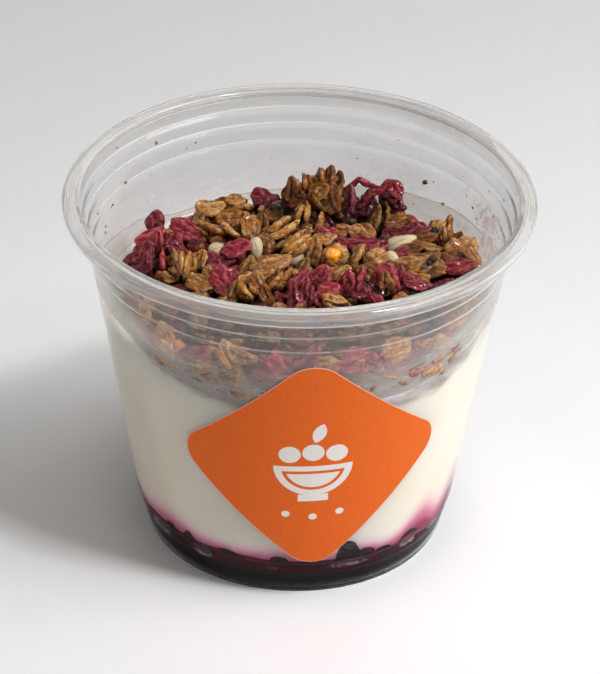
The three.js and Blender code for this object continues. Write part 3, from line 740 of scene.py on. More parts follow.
def baked_oats(colours, name="oats", depth=0.7):
    """Oat flakes baked in syrup: dry and pale on their ridges, brown in their hollows, glazed in patches."""
    board = Board(name)
    spot = board.place()
    tone = board.layer("tone")
    grain = board.layer("grain", "Vector")
    rim = board.layer("rim")
    fibre = board.noise(board.stretched(grain, 0.3, 1.8, 1), 0.85, 4, 0.58)
    patch = board.noise(spot, 0.34, 4, 0.6)
    speck = board.noise(spot, 1.7, 3)
    pits = board.noise(spot, 1.1, 4, 0.65)
    hue = board.noise(spot, 0.13, 2)
    light = board.mix(tuple(colours.oat_light), paint(214, 136, 54), hue.from_to(0.42, 0.6))
    ground = board.mix(tuple(colours.oat_dark), light, (1.15 * tone - 0.05).smaller(1).larger(0))
    syrup = patch.from_to(0.46, 0.66)
    brown = board.coats(
        ground,
        ((240, 206, 150), fibre.from_to(0.5, 0.64) * (0.04 + 0.8 * tone)),
        ((128, 58, 10), syrup * (0.8 - 0.45 * tone)),
        ((204, 128, 44), rim.from_to(0.75, 1) * patch.from_to(0.4, 0.6) * 0.5),
        ((66, 26, 6), fibre.from_to(0.47, 0.36) * 0.8),
        ((92, 40, 10), pits.from_to(0.54, 0.66) * 0.75),
        ((238, 206, 156), pits.from_to(0.42, 0.32) * (0.15 + 0.85 * tone)),
        ((50, 24, 12), speck.from_to(0.62, 0.7) * 0.7),
        # Painted shade in the gaps of the heap.
        ((26, 12, 7), board.layer("deep") * 0.85),
    )
    return board.finish(board.surface(brown, (0.56 - 0.3 * syrup + 0.2 * speck).larger(0.2), {
        "Specular IOR Level": 0.16, "Normal": board.bump(fibre * 0.7 + pits * 0.9, depth, 1.0),
        "Coat Weight": syrup.from_to(0.5, 0.9), "Coat Roughness": 0.1,
    }))


def dried_fruit(colours):
    """Freeze-dried berry: deep crimson and sticky in its folds, dusty pink along its ridges."""
    board = Board("dried_fruit")
    spot = board.place()
    tone = board.layer("tone")
    grain = board.layer("grain", "Vector")
    rim = board.layer("rim")
    fold = board.noise(board.stretched(grain, 0.5, 1.9, 1), 0.9, 4, 0.66)
    patch = board.noise(spot, 0.3, 3)
    speck = board.noise(spot, 1.5, 4)
    ground = board.mix(tuple(colours.fruit_dark), paint(182, 40, 58), (0.02 + 0.98 * tone).smaller(1))
    dusty = (fold.from_to(0.5, 0.64) * (0.12 + 0.68 * tone) + 0.3 * rim.from_to(0.86, 1) * patch).smaller(0.8)
    red = board.coats(
        board.mix(ground, tuple(colours.fruit_light), dusty),
        ((40, 4, 14), fold.from_to(0.47, 0.36) * 0.85),
        ((214, 112, 84), patch.from_to(0.6, 0.7) * tone * 0.6),
        ((196, 140, 138), speck.from_to(0.64, 0.76) * 0.45),
        ((44, 8, 16), speck.from_to(0.4, 0.32) * 0.5),
        # Painted shade in the gaps of the heap.
        ((28, 3, 10), board.layer("deep") * 0.8),
    )
    return board.finish(board.surface(red, (0.46 + 0.3 * patch - 0.3 * speck).larger(0.18), {
        "Specular IOR Level": 0.2, "Normal": board.bump(fold * 0.9 + speck * 0.6, 0.85, 1.0),
        "Coat Weight": speck.from_to(0.5, 0.6) * 0.8, "Coat Roughness": 0.12,
    }))


def shelled_seed(colours):
    """Sunflower seed out of its shell: pale, waxy, with greyish lines along it."""
    board = Board("seed")
    grain = board.layer("grain", "Vector")
    spot = board.place()
    lines = board.noise(board.stretched(grain, 0.2, 2.4, 1), 0.9, 3)
    stain = board.noise(spot, 0.5, 3)
    pale = board.coats(
        board.mix(paint(160, 138, 104), tuple(colours.seed_pale), lines.from_to(0.32, 0.6)),
        ((150, 96, 72), stain.from_to(0.62, 0.74) * 0.6),
        # Painted shade in the gaps of the heap.
        ((70, 46, 28), board.layer("deep") * 0.7),
    )
    return board.finish(board.surface(pale, 0.42 + 0.15 * lines, {
        "Specular IOR Level": 0.5, "Normal": board.bump(lines, 0.14, 0.6),
    }))


def amber_fruit(colours):
    """A piece of candied fruit: clear amber, with brighter gold patches painted in as the glow of light
    through it.
    """
    board = Board("amber")
    spot = board.place()
    glow = board.noise(spot, 0.42, 3)
    grain = board.noise(spot, 1.6, 3)
    gold = board.mix(paint(206, 88, 8), paint(255, 172, 40), glow.from_to(0.42, 0.64))
    return board.finish(board.surface(gold, 0.16 + 0.14 * grain, {
        "Specular IOR Level": 0.6, "Normal": board.bump(grain, 0.1, 0.6),
        "Subsurface Weight": 0.4, "Subsurface Radius": (1.0, 0.5, 0.15), "Subsurface Scale": 0.0015,
    }))


def dark_seed(colours):
    """Small seeds, nearly black, with a dusty bloom."""
    board = Board("dark_seed")
    spot = board.place()
    bloom = board.noise(spot, 1.1, 3)
    black = board.mix(paint(34, 22, 14), paint(86, 62, 44), bloom.from_to(0.45, 0.7))
    return board.finish(board.surface(black, 0.5 + 0.3 * bloom, {
        "Specular IOR Level": 0.25, "Normal": board.bump(bloom, 0.1, 0.7),
    }))


def label_paper(colours):
    """Matt paper printed orange, with a bowl, berries and leaf in white and a pale cut edge."""
    board = Board("label_paper")
    flat = board.add("ShaderNodeUVMap", {"uv_map": "flat"})
    across, up = board.add("ShaderNodeSeparateXYZ", None, {0: flat}, ("X", "Y"))
    x = (across - 0.5) * LABEL_MAP
    y = (up - 0.5) * LABEL_MAP
    spot = board.place()
    grain = board.noise(spot, 2.6, 3)
    peel = board.noise(spot, 1.1, 2)

    def disc(at_x, at_y, radius):
        """How far a place on the label lies outside a disc, in millimetres."""
        dx = x - at_x
        dy = y - at_y
        return (dx * dx + dy * dy) ** 0.5 - radius

    def inside(distance):
        return distance.from_to(0.05, -0.05)

    bowl = disc(0, 0.4, 7.6).larger(y - 0.4)
    hollow = disc(0, 0.4, 6.2).larger(y + 0.9)
    stand = abs(x).larger(abs(y + 7.9) * 3.2) - 2.9
    berries = disc(-4.5, 3.4, 2.1).smaller(disc(0, 3.9, 2.1)).smaller(disc(4.5, 3.4, 2.1))
    leaf = disc(-0.6, 9.4, 3.1).larger(disc(2.9, 8.2, 3.1))
    seeds = disc(-5.2, -12.2, 0.8).smaller(disc(0, -13, 0.8)).smaller(disc(5.2, -12.2, 0.8))
    band = hollow.larger(-hollow - 0.7)
    white = inside(bowl)
    for shape in (stand, berries, leaf, seeds):
        white = white.larger(inside(shape))
    white = white * (1 - inside(band))

    turned_x = (x + y) * math.sqrt(0.5)
    turned_y = (y - x) * math.sqrt(0.5)
    corner_x = (abs(turned_x) - LABEL_SIDE / 2 + LABEL_CORNER_R).larger(0)
    corner_y = (abs(turned_y) - LABEL_SIDE / 2 + LABEL_CORNER_R).larger(0)
    to_edge = (corner_x * corner_x + corner_y * corner_y) ** 0.5 - LABEL_CORNER_R
    cut = to_edge.from_to(-0.16, -0.05)

    ground = board.mix(tuple(colours.label), paint(226, 93, 30), 0.55 * grain.from_to(0.35, 0.7))
    printed = board.mix(ground, tuple(colours.print), white * (0.93 + 0.07 * grain))
    printed = board.mix(printed, paint(246, 214, 196), cut * 0.75)
    return board.finish(board.surface(printed, 0.54 + 0.12 * grain, {
        "Specular IOR Level": 0.14, "Normal": board.bump(peel + grain * 0.5, 0.03, 0.6),
    }))


def studio_floor(colour):
    board = Board("studio_floor")
    spot = board.place()
    shade = board.noise(spot, 0.02, 2)
    pale = board.mix(tuple(colour), paint(243, 243, 243), shade)
    return board.finish(board.surface(pale, 0.85 + 0.05 * shade, {"Specular IOR Level": 0.2}))


# ---- shapes --------------------------------------------------------------------------------------
# A corner's rounding takes this share of a side at most, and the point that holds the side flat is this
# share of the rounding further on.
MOST_OF_A_SIDE = 0.42
HOLDING = 0.12


def outer_radius(z):
    radii, heights = zip(*OUTLINE)
    return np.interp(z, heights, radii)


def inner_radius(z):
    return outer_radius(np.minimum(z, NECK_Z)) - WALL


def round_the_cup(table, angle):
    """The height of an edge at an angle, smooth between the table's points."""
    places = np.array([p[0] for p in table], float)
    heights = np.array([p[1] for p in table], float)
    angle = (np.asarray(angle) + 180) % 360 - 180
    after = np.clip(np.searchsorted(places, angle, side="right"), 1, len(places) - 1)
    share = (angle - places[after - 1]) / (places[after] - places[after - 1])
    share = share * share * (3 - 2 * share)
    return heights[after - 1] * (1 - share) + heights[after] * share


def apart(angle, other):
    return np.abs((angle - other + 180) % 360 - 180)


def step(value, low, high):
    share = np.clip((value - low) / (high - low), 0, 1)
    return share * share * (3 - 2 * share)


def rounded(points, radius, steps=4):
    """A section with rounded corners, and a point close to each rounding so that flat stretches stay flat."""
    points = [np.array(p, float) for p in points]
    out = [points[0]]
    for before, corner, after in zip(points, points[1:], points[2:]):
        back = before - corner
        on = after - corner
        reach_back = np.linalg.norm(back)
        reach_on = np.linalg.norm(on)
        cut = min(radius, MOST_OF_A_SIDE * reach_back, MOST_OF_A_SIDE * reach_on)
        start = corner + back / reach_back * cut
        end = corner + on / reach_on * cut
        out.append(start + back / reach_back * HOLDING * cut)
        for i in range(steps + 1):
            t = i / steps
            out.append((1 - t) ** 2 * start + 2 * t * (1 - t) * corner + t * t * end)
        out.append(end + on / reach_on * HOLDING * cut)
    out.append(points[-1])
    return np.array(out)


def ring_faces(rows, columns, loop=False):
    """Quads between rings of points that run bottom to top, each anticlockwise from above."""
    row = np.arange(rows if loop else rows - 1)[:, None] * columns
    above = (row + columns) % (rows * columns)
    column = np.arange(columns)[None, :]
    beside = (column + 1) % columns
    return np.stack([row + column, row + beside, above + beside, above + column], -1).reshape(-1, 4)


def closed_skin(rings, low, high):
    """Points and faces of rings from bottom to top, closed by a point below and one above."""
    rows, columns = rings.shape[:2]
    points = np.vstack([rings.reshape(-1, 3), low, high])
    foot = rows * columns
    column = np.arange(columns)
    beside = (column + 1) % columns
    last = (rows - 1) * columns
    under = [(foot, int(b), int(a)) for a, b in zip(column, beside)]
    over = [(foot + 1, int(last + a), int(last + b)) for a, b in zip(column, beside)]
    return points, ring_faces(rows, columns).tolist() + under + over


def mark(mesh, layer, values):
    """Stores a value or a vector at each point of a mesh; whole numbers stay whole."""
    values = np.asarray(values)
    if values.ndim == 2:
        kind, part, number = "FLOAT_VECTOR", "vector", np.float32
    elif values.dtype.kind == "i":
        kind, part, number = "INT", "value", np.int32
    else:
        kind, part, number = "FLOAT", "value", np.float32
    mesh.attributes.new(layer, kind, "POINT").data.foreach_set(part, values.astype(number).ravel())


def new_mesh(name, points, faces, layers=None, smooth=True):
    """A mesh from points in millimetres; layers are values or vectors at its points."""
    mesh = bpy.data.meshes.new(name)
    mesh.from_pydata((np.asarray(points) * MM).tolist(), [], faces)
    for layer, values in (layers or {}).items():
        mark(mesh, layer, np.asarray(values, float))
    mesh.polygons.foreach_set("use_smooth", [smooth] * len(mesh.polygons))
    mesh.update()
    return mesh


class Rings:
    """Rings of points round the cup, from bottom to top, with values at their points."""

    def __init__(self, sides, *names):
        self.sides = sides
        self.angle = np.arange(sides) * 360 / sides - 180
        self.turn = np.radians(self.angle)
        self.east, self.north = np.sin(self.turn), -np.cos(self.turn)
        self.rows = []
        self.layers = {name: [] for name in names}

    def add(self, radius, z, **marks):
        z = np.broadcast_to(z, self.sides)
        self.rows.append(np.stack([radius * self.east, radius * self.north, z], -1))
        for name, parts in self.layers.items():
            parts.append(np.broadcast_to(marks.get(name, 0.0), self.sides))

    def closed(self, name, low, high):
        """The rings as a mesh, closed in the middle at a low and a high level."""
        points, faces = closed_skin(np.array(self.rows), [0, 0, low], [0, 0, high])
        values = {layer: np.append(np.concatenate(parts), [0, 0]) for layer, parts in self.layers.items()}
        return new_mesh(name, points, faces, values)


def shown(name, mesh, finish, node=None):
    """Puts a finished mesh in the scene as a piece of the object."""
    mesh.materials.clear()
    mesh.materials.append(finish)
    piece = bpy.data.objects.new(name, mesh)
    bpy.context.scene.collection.objects.link(piece)
    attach(piece, BODY)
    if node:
        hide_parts(node)


# ---- geometry nodes ------------------------------------------------------------------------------
class Nodes:
    """A Geometry Nodes tree under construction, with named inputs."""

    def __init__(self, name, inputs):
        self.tree = bpy.data.node_groups.new(name, "GeometryNodeTree")
        interface = self.tree.interface
        interface.new_socket("Geometry", in_out="INPUT", socket_type="NodeSocketGeometry")
        interface.new_socket("Geometry", in_out="OUTPUT", socket_type="NodeSocketGeometry")
        self.ids = {}
        for label, kind in inputs:
            self.ids[label] = interface.new_socket(label, in_out="INPUT", socket_type=kind).identifier
        self.given = self.tree.nodes.new("NodeGroupInput").outputs

    def add(self, kind, settings=None, sockets=None, out=0):
        node = self.tree.nodes.new(kind)
        for name, value in (settings or {}).items():
            setattr(node, name, value)
        for name, value in (sockets or {}).items():
            if isinstance(value, bpy.types.NodeSocket):
                self.tree.links.new(value, node.inputs[name])
            else:
                node.inputs[name].default_value = value
        return node.outputs[out]

    def shapes(self):
        """The meshes of the collection given as Shapes, as instances to pick from."""
        settled = {"Collection": self.given["Shapes"], "Separate Children": True, "Reset Children": True}
        return self.add("GeometryNodeCollectionInfo", None, settled)

    def finish(self, geometry):
        whole = self.add("GeometryNodeRealizeInstances", None, {0: geometry})
        coated = self.add("GeometryNodeSetMaterial", None, {0: whole, "Material": self.given["Finish"]})
        end = self.tree.nodes.new("NodeGroupOutput")
        self.tree.links.new(coated, end.inputs[0])

    def run(self, name, mesh, values):
        """Runs the tree on a mesh and gives the result as a plain mesh."""
        holder = bpy.data.objects.new(name, mesh)
        bpy.context.scene.collection.objects.link(holder)
        modifier = holder.modifiers.new(name, "NODES")
        modifier.node_group = self.tree
        for label, value in values.items():
            modifier[self.ids[label]] = value
        graph = bpy.context.evaluated_depsgraph_get()
        made = bpy.data.meshes.new_from_object(holder.evaluated_get(graph))
        made.name = name
        bpy.data.objects.remove(holder)
        bpy.data.node_groups.remove(self.tree)
        return made


def shape_store(name, shapes):
    """A collection of shapes for a tree to lay out."""
    store = bpy.data.collections.new(name + "_shapes")
    bpy.context.scene.collection.children.link(store)
    for i, mesh in enumerate(shapes):
        store.objects.link(bpy.data.objects.new(f"{name}_{i:02d}", mesh))
    return store


def remove_store(store):
    for holder in list(store.objects):
        bpy.data.objects.remove(holder)
    bpy.data.collections.remove(store)


# The circle that a section is swept along, and the distance within which the points on the axis are welded.
PATH_R = 30
WELD = 1e-7


def turned(name, section, sides, finish):
    """Turns a section about Z. It is given as [radius, height] from inside to outside over the top."""
    curve = bpy.data.curves.new(name + "_section", "CURVE")
    curve.dimensions = "2D"
    line = curve.splines.new("POLY")
    line.points.add(len(section) - 1)
    for point, (radius, height) in zip(line.points, section):
        point.co = ((radius - PATH_R) * MM, -height * MM, 0, 1)
    outline = bpy.data.objects.new(name + "_section", curve)
    bpy.context.scene.collection.objects.link(outline)
    nodes = Nodes("Turn a section", [
        ("Section", "NodeSocketObject"), ("Path radius", "NodeSocketFloat"), ("Sides", "NodeSocketInt"),
        ("Weld", "NodeSocketFloat"), ("Finish", "NodeSocketMaterial"),
    ])
    given = nodes.given
    shape = nodes.add("GeometryNodeObjectInfo", None, {"Object": given["Section"]}, "Geometry")
    path = nodes.add("GeometryNodeCurvePrimitiveCircle", None, {
        "Resolution": given["Sides"], "Radius": given["Path radius"],
    })
    shell = nodes.add("GeometryNodeCurveToMesh", None, {"Curve": path, "Profile Curve": shape})
    welded = nodes.add("GeometryNodeMergeByDistance", None, {0: shell, "Distance": given["Weld"]})
    smooth = nodes.add("GeometryNodeSetShadeSmooth", None, {0: welded})
    nodes.finish(smooth)
    mesh = nodes.run(name, bpy.data.meshes.new(name + "_start"), {
        "Section": outline, "Path radius": PATH_R * MM, "Sides": sides, "Weld": WELD, "Finish": finish,
    })
    bpy.data.objects.remove(outline)
    return mesh


def laid_out(name, shapes, rows, finish):
    """Instances of shapes on points: each row is form, place, matrix, stretch and tone."""
    store = shape_store(name, shapes)
    points = bpy.data.meshes.new(name + "_points")
    points.from_pydata([tuple(float(v) * MM for v in row[1]) for row in rows], [], [])
    forms, _, matrices, stretches, tones = zip(*rows)
    mark(points, "form", [number % len(shapes) for number in forms])
    mark(points, "turn", [Matrix(matrix.tolist()).to_euler() for matrix in matrices])
    mark(points, "stretch", stretches)
    mark(points, "tone", tones)
    nodes = Nodes("Lay pieces out", [("Shapes", "NodeSocketCollection"), ("Finish", "NodeSocketMaterial")])

    def layer(label, kind):
        return nodes.add("GeometryNodeInputNamedAttribute", {"data_type": kind}, {"Name": label})

    kinds = nodes.shapes()
    turn = nodes.add("FunctionNodeEulerToRotation", None, {0: layer("turn", "FLOAT_VECTOR")})
    laid = nodes.add("GeometryNodeInstanceOnPoints", None, {
        "Points": nodes.given["Geometry"], "Instance": kinds, "Pick Instance": True,
        "Instance Index": layer("form", "INT"), "Rotation": turn, "Scale": layer("stretch", "FLOAT_VECTOR"),
    })
    nodes.finish(laid)
    mesh = nodes.run(name, points, {"Shapes": store, "Finish": finish})
    remove_store(store)
    return mesh


# ---- forms of the granola ------------------------------------------------------------------------
# Every form is made at this length and width, and stretched to its own size where it is laid.
FORM_LENGTH = 8.0
FORM_WIDTH = 5.5
# How far out the rings of a flake lie, as shares of its half width: under it, and then over it.
RINGS_UNDER = (0.45, 0.8)
RINGS_OVER = (0.97, 0.86, 0.68, 0.46, 0.24)
EDGE_WAVES = (2, 3, 4, 5, 7, 9)
FULL_TURN = 2 * math.pi


def waves(rng, points, longest, count=9):
    """Smooth uneven heights of about -1 to 1 over points, from a few waves that run in chance directions."""
    height = np.zeros(len(points))
    for _ in range(count):
        way = rng.normal(size=3)
        way /= np.linalg.norm(way)
        length = longest * rng.uniform(0.35, 1)
        phase = rng.uniform(0, FULL_TURN)
        height += np.sin(points @ way * (FULL_TURN / length) + phase) * length / longest
    return height / math.sqrt(count) * 1.2


def flake_form(rng, thick, crumple, ragged, columns=20):
    """An oat flake: a curled oval with a crease along it, thin at its ragged rim."""
    angle = np.arange(columns) * FULL_TURN / columns
    edge = 1 + ragged * sum(
        rng.normal() * np.sin(k * angle + rng.uniform(0, FULL_TURN)) / k ** 0.5 for k in EDGE_WAVES
    )
    rings = []
    for side, reach in [(-1, r) for r in RINGS_UNDER] + [(0, 1.0)] + [(1, r) for r in RINGS_OVER]:
        x = FORM_LENGTH / 2 * reach * np.cos(angle) * edge
        y = FORM_WIDTH / 2 * reach * np.sin(angle) * edge * (1 - 0.22 * np.cos(angle) * reach)
        z = np.full(columns, side * thick / 2 * math.sqrt(max(0, 1 - reach ** 4)))
        rings.append(np.stack([x, y, z], -1))
    points, faces = closed_skin(np.array(rings), [0, 0, -thick / 2], [0, 0, thick / 2])
    reach = np.hypot(points[:, 0] / FORM_LENGTH * 2, points[:, 1] / FORM_WIDTH * 2)
    grain = points.copy()
    over = points[:, 2] > 0.02
    curl = rng.uniform(-0.02, 0.055)
    cup = rng.uniform(-0.03, 0.08)
    twist = rng.uniform(-0.035, 0.035)
    crease = np.exp(-((points[:, 1] - rng.uniform(-0.4, 0.4)) / 0.5) ** 2) * (1 - np.minimum(1, reach) ** 2)
    bend = curl * points[:, 0] ** 2 + cup * points[:, 1] ** 2 + twist * points[:, 0] * points[:, 1]
    ribs = 0.05 * np.sin(points[:, 1] * 4.6 + rng.uniform(0, 6)) * (1 - np.minimum(1, reach) ** 3)
    points[:, 2] += bend + np.where(over, ribs - 0.34 * thick * crease, 0.2 * thick * crease)
    points[:, 2] += crumple * waves(rng, points, 2.8)
    points[:, 0] += 0.5 * crumple * waves(rng, points, 3)
    points[:, 1] += 0.5 * crumple * waves(rng, points, 3)
    return new_mesh("flake", points, faces, {"grain": grain, "rim": np.minimum(1, reach)})


def knob_form(rng, length, width, thick, rough, longest, columns=20, rows=11, point=0.0):
    """A rounded lump: seeds, knobs of crumb and crumbs."""
    angle = np.arange(columns) * FULL_TURN / columns
    rings = []
    for i in range(1, rows):
        polar = -math.pi / 2 + math.pi * i / rows
        x = length / 2 * math.cos(polar) * np.cos(angle)
        y = width / 2 * math.cos(polar) * np.sin(angle)
        y = y * (1 - point * x / length * 2)
        z = np.full(columns, thick / 2 * math.sin(polar))
        rings.append(np.stack([x, y, z], -1))
    points, faces = closed_skin(np.array(rings), [0, 0, -thick / 2], [0, 0, thick / 2])
    grain = points.copy()
    away = points / np.maximum(np.linalg.norm(points, axis=1, keepdims=True), 1e-6)
    points = points + away * (rough * waves(rng, points, longest))[:, None]
    reach = np.hypot(points[:, 0] / length * 2, points[:, 1] / width * 2)
    return new_mesh("knob", points, faces, {"grain": grain, "rim": np.minimum(1, 0.6 * reach)})


def heap_edge(turn):
    """How far the heap reaches at an angle from +X, in radians."""
    return 33.6 - 4.2 * np.sin(turn) + 0.9 * np.cos(2 * turn)


def heap_top(x, y):
    """Height of the bare heap over a point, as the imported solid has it."""
    reach = np.minimum(1, np.hypot(x, y) / heap_edge(np.arctan2(y, x)))
    lumps = 0.5 * np.sin(x * 0.62 + 1) * np.cos(y * 0.55) + 0.35 * np.sin(x * 0.31 - y * 0.43)
    dome = (HEAP_RISE - HEAP_SIDE) * (1 - reach ** 4)
    return HEAP_FOOT + HEAP_SIDE + dome + lumps * (1 - reach ** 6)


def pointing(around_it, lift):
    """The direction from the cup at an angle round it and a lift over the floor, in radians."""
    level = math.cos(lift)
    return np.array([level * math.sin(around_it), -level * math.cos(around_it), math.sin(lift)])


def eye_frame():
    """The camera's right, up and back as unit vectors."""
    back = pointing(math.radians(CAMERA_AROUND), CAMERA_LIFT)
    right = np.cross([0, 0, 1], back)
    right /= np.linalg.norm(right)
    up = np.cross(back, right)
    cos, sin = math.cos(CAMERA_ROLL), math.sin(CAMERA_ROLL)
    return cos * right + sin * up, cos * up - sin * right, back


def eye_place():
    right, up, back = eye_frame()
    return np.array(AIM) + CAMERA_DISTANCE * back + CAMERA_OFFSET[0] * right + CAMERA_OFFSET[1] * up


def seen_place(across, down, lift, behind):
    """Where the camera's line through a place in the picture meets the heap, or the distance behind."""
    right, up, back = eye_frame()
    eye = eye_place()
    aside = (across - PICTURE[0] / 2) / FOCAL_PIXELS
    below = (down - PICTURE[1] / 2) / FOCAL_PIXELS
    line = aside * right - below * up - back
    line /= np.linalg.norm(line)
    if behind:
        return eye + line * ((behind - eye[1]) / line[1])
    way = np.linspace(CAMERA_DISTANCE - LOOKED_ALONG, CAMERA_DISTANCE + LOOKED_ALONG, LOOKS)
    points = eye + way[:, None] * line
    above = points[:, 2] > heap_top(points[:, 0], points[:, 1]) + lift
    place = points[np.argmin(above) - 1]
    reach = math.hypot(place[0], place[1]) / heap_edge(math.atan2(place[1], place[0]))
    if place[1] > FAR_START and reach > FAR_REACH:
        return eye + line * ((FAR_LEVEL + FAR_LIFT * lift - eye[2]) / line[2])
    return place


def seen_pieces():
    """The pieces that show, in mm: kind, tone, x, y, lift over the heap, swing, dip, roll, length, width."""
    back = eye_frame()[2]
    for (left, top), rows in ((LEFT_CUT, PIECES_LEFT), (RIGHT_CUT, PIECES_RIGHT)):
        for kind, tone, across, down, lift, behind, swing, dip, roll, length, width in rows:
            place = seen_place(left + across / ENLARGED, top + down / ENLARGED, lift, behind)
            size = (eye_place() - place) @ back / FOCAL_PIXELS / ENLARGED
            over = place[2] - heap_top(place[0], place[1])
            sizes = (place[0], place[1], over, length * size, width * size)
            x, y, over, length, width = (round(float(v), 1) for v in sizes)
            yield kind, tone, x, y, over, swing, dip, roll, length, width


def seen_turn(swing, dip, roll):
    """The rotation of a piece whose long way, dip and face are given as the camera sees them."""
    right, up, back = eye_frame()
    swing, dip, roll = np.radians([swing, dip, roll])
    long_way = math.cos(dip) * (math.cos(swing) * right + math.sin(swing) * up) + math.sin(dip) * back
    to_eye = back - back @ long_way * long_way
    to_eye /= np.linalg.norm(to_eye)
    face = math.cos(roll) * to_eye + math.sin(roll) * np.cross(to_eye, long_way)
    return np.stack([long_way, np.cross(face, long_way), face], -1)


def laid_turn(turn, lean, spin):
    """The rotation of a piece that is spun flat, leaned about X and turned about Z, in degrees."""
    turn, lean, spin = np.radians([turn, lean, spin])

    def about_z(a):
        return np.array([[math.cos(a), -math.sin(a), 0], [math.sin(a), math.cos(a), 0], [0, 0, 1]])

    cos, sin = math.cos(lean), math.sin(lean)
    return about_z(turn) @ np.array([[1, 0, 0], [0, cos, -sin], [0, sin, cos]]) @ about_z(spin)


# How a piece is nudged clear: how often at most, how far each time, and how deep an end may lie in the
# yogurt.
NUDGES = 40
NUDGE_IN = 0.3
NUDGE_UP = 0.2
DEEPEST = 0.9


def inside_wall(place, matrix, length, width, clear=0.5):
    """The place, moved inwards until the piece's four ends are clear of the wall, and up off the yogurt."""
    place = np.array(place, float)
    for _ in range(NUDGES):
        ends = [place + s * matrix[:, 0] * length / 2 for s in (-1, 1)]
        ends += [place + s * matrix[:, 1] * width / 2 for s in (-1, 1)]
        reach = max(math.hypot(e[0], e[1]) - float(inner_radius(e[2])) for e in ends)
        depth = YOGURT_TOP - DEEPEST - min(e[2] for e in ends)
        if reach < -clear and depth < 0:
            break
        if reach >= -clear:
            place[:2] -= place[:2] / max(1e-6, math.hypot(place[0], place[1])) * NUDGE_IN
        if depth >= 0:
            place[2] += NUDGE_UP
    return place


# Pieces are laid a little larger than they were read, and those on edge a little steeper.
LONGER = 1.12
WIDER = 1.15
ON_EDGE = 50
STEEPER = 1.3
STEEPEST = 84
# The tall bundle at the back, which darkens upwards: its middle, half its width and where it starts and ends.
BUNDLE_X = 4
BUNDLE_HALF = 6
BUNDLE_FRONT = 11
BUNDLE_BACK = 18
# What fills the hollow under a raised piece, at half its tone as painted shade: how far under it, how far
# apart, length and width.
FILL_GAP = 1.6
FILL_STEP = 1.5
FILL_LENGTH = 4.6
FILL_WIDTH = 3.4
# The turn from each loose flake to the next, and the range of numbers that pick a form.
GOLDEN_ANGLE = 2.39996
FORM_NUMBERS = 97


class Heap:
    """Every piece of the heap by kind, as rows of form, place, matrix, stretch and tone."""

    def __init__(self, sizes):
        self.sizes = sizes
        self.rng = np.random.default_rng(sizes.seed)
        self.rows = {kind: [] for kind in GRANOLA_KINDS}
        self.lay_seen()
        self.lay_loose()
        self.lay_at_wall()

    def put(self, kind, place, matrix, length, width, tone, deep=1.0):
        place = inside_wall(place, matrix, length, width)
        stretch = (length / FORM_LENGTH, width / FORM_WIDTH, deep)
        form = int(self.rng.integers(0, FORM_NUMBERS))
        self.rows[kind].append((form, place, matrix, stretch, float(np.clip(tone, 0, 1))))

    def any_turn(self, least_lean, most_lean):
        rng = self.rng
        return laid_turn(rng.uniform(0, 360), rng.uniform(least_lean, most_lean), rng.uniform(0, 360))

    def lay_seen(self):
        """The pieces that show, each over what fills the hollow under it."""
        rng = self.rng
        for kind, tone, x, y, lift, swing, dip, roll, length, width in seen_pieces():
            roll = min(roll * STEEPER, STEEPEST) if roll >= ON_EDGE else roll
            swing, dip, roll = swing + rng.uniform(-4, 4), dip + rng.uniform(-6, 6), roll + rng.uniform(-5, 5)
            matrix = seen_turn(swing, dip, roll)
            top = float(heap_top(x, y))
            length = length * LONGER
            width = width * WIDER
            tone = tone - (0.2 if x > 17 and kind == "oat" else 0)
            bundled = kind == "oat" and BUNDLE_FRONT < y < BUNDLE_BACK and abs(x - BUNDLE_X) < BUNDLE_HALF
            shade = 1 - 0.66 * min(1, max(0, lift - 4) / 2) if bundled else 1
            self.put(kind, (x, y, top + lift), matrix, length, width, tone * shade, 0.46 + 0.045 * length)
            under = lift - FILL_GAP
            while under > 0 and kind in ("oat", "red", "lump"):
                matrix = self.any_turn(20, 70)
                place = (x + rng.normal() * 0.5, y + 0.6 + rng.normal() * 0.5, top + under)
                filler = "oat" if kind == "lump" else kind
                self.put(filler, place, matrix, FILL_LENGTH, FILL_WIDTH, tone * 0.5)
                under -= FILL_STEP

    def lay_loose(self):
        """Loose flakes spread evenly over the heap, higher at the back, in dark tones as painted shade in the
        gaps.
        """
        rng = self.rng
        for i in range(self.sizes.loose_flakes):
            turn = i * GOLDEN_ANGLE
            reach = math.sqrt((i + 0.5) / self.sizes.loose_flakes) * 0.97 * float(heap_edge(turn))
            x, y = reach * math.cos(turn), reach * math.sin(turn)
            matrix = self.any_turn(5, 62)
            lift = rng.uniform(-0.5, 0.7) + (0.6 if y > 8 else 0)
            length = self.sizes.oat_length / MM * rng.uniform(0.62, 1.08)
            kind = "red" if rng.random() < 0.3 else "oat"
            tone = rng.uniform(0.0, 0.42)
            place = (x, y, float(heap_top(x, y)) + lift)
            self.put(kind, place, matrix, length, length * rng.uniform(0.55, 0.8), tone)

    def lay_at_wall(self):
        """Flakes stood against the wall, higher in front, and drawn in where the yogurt covers the wall."""
        rng = self.rng
        for i in range(self.sizes.wall_flakes):
            angle = math.radians(-180 + 360 * (i + rng.uniform(-0.4, 0.4)) / self.sizes.wall_flakes)
            front = max(0.0, math.cos(angle))
            top = 52.4 + 6.4 * front
            z = rng.uniform(50.4 + 1.8 * front, top + 1.2)
            wall = float(inner_radius(z))
            slope = 0.9 - 0.75 * front
            edge = float(heap_edge(angle - math.pi / 2))
            reach = min(wall - 1, edge + 1.6 - slope * max(0, z - 54))
            if z < float(round_the_cup(YOGURT_EDGE, math.degrees(angle))) + 1.4:
                reach = min(reach, wall - 2.4 - 4 * (1 - front))
            place = (reach * math.sin(angle), -reach * math.cos(angle), z)
            matrix = laid_turn(math.degrees(angle), rng.uniform(48, 88), rng.uniform(-50, 50))
            length = rng.uniform(4.4, 8)
            kind = "red" if rng.random() < 0.34 else "oat"
            self.put(kind, place, matrix, length, length * rng.uniform(0.55, 0.8), rng.uniform(0.3, 1))


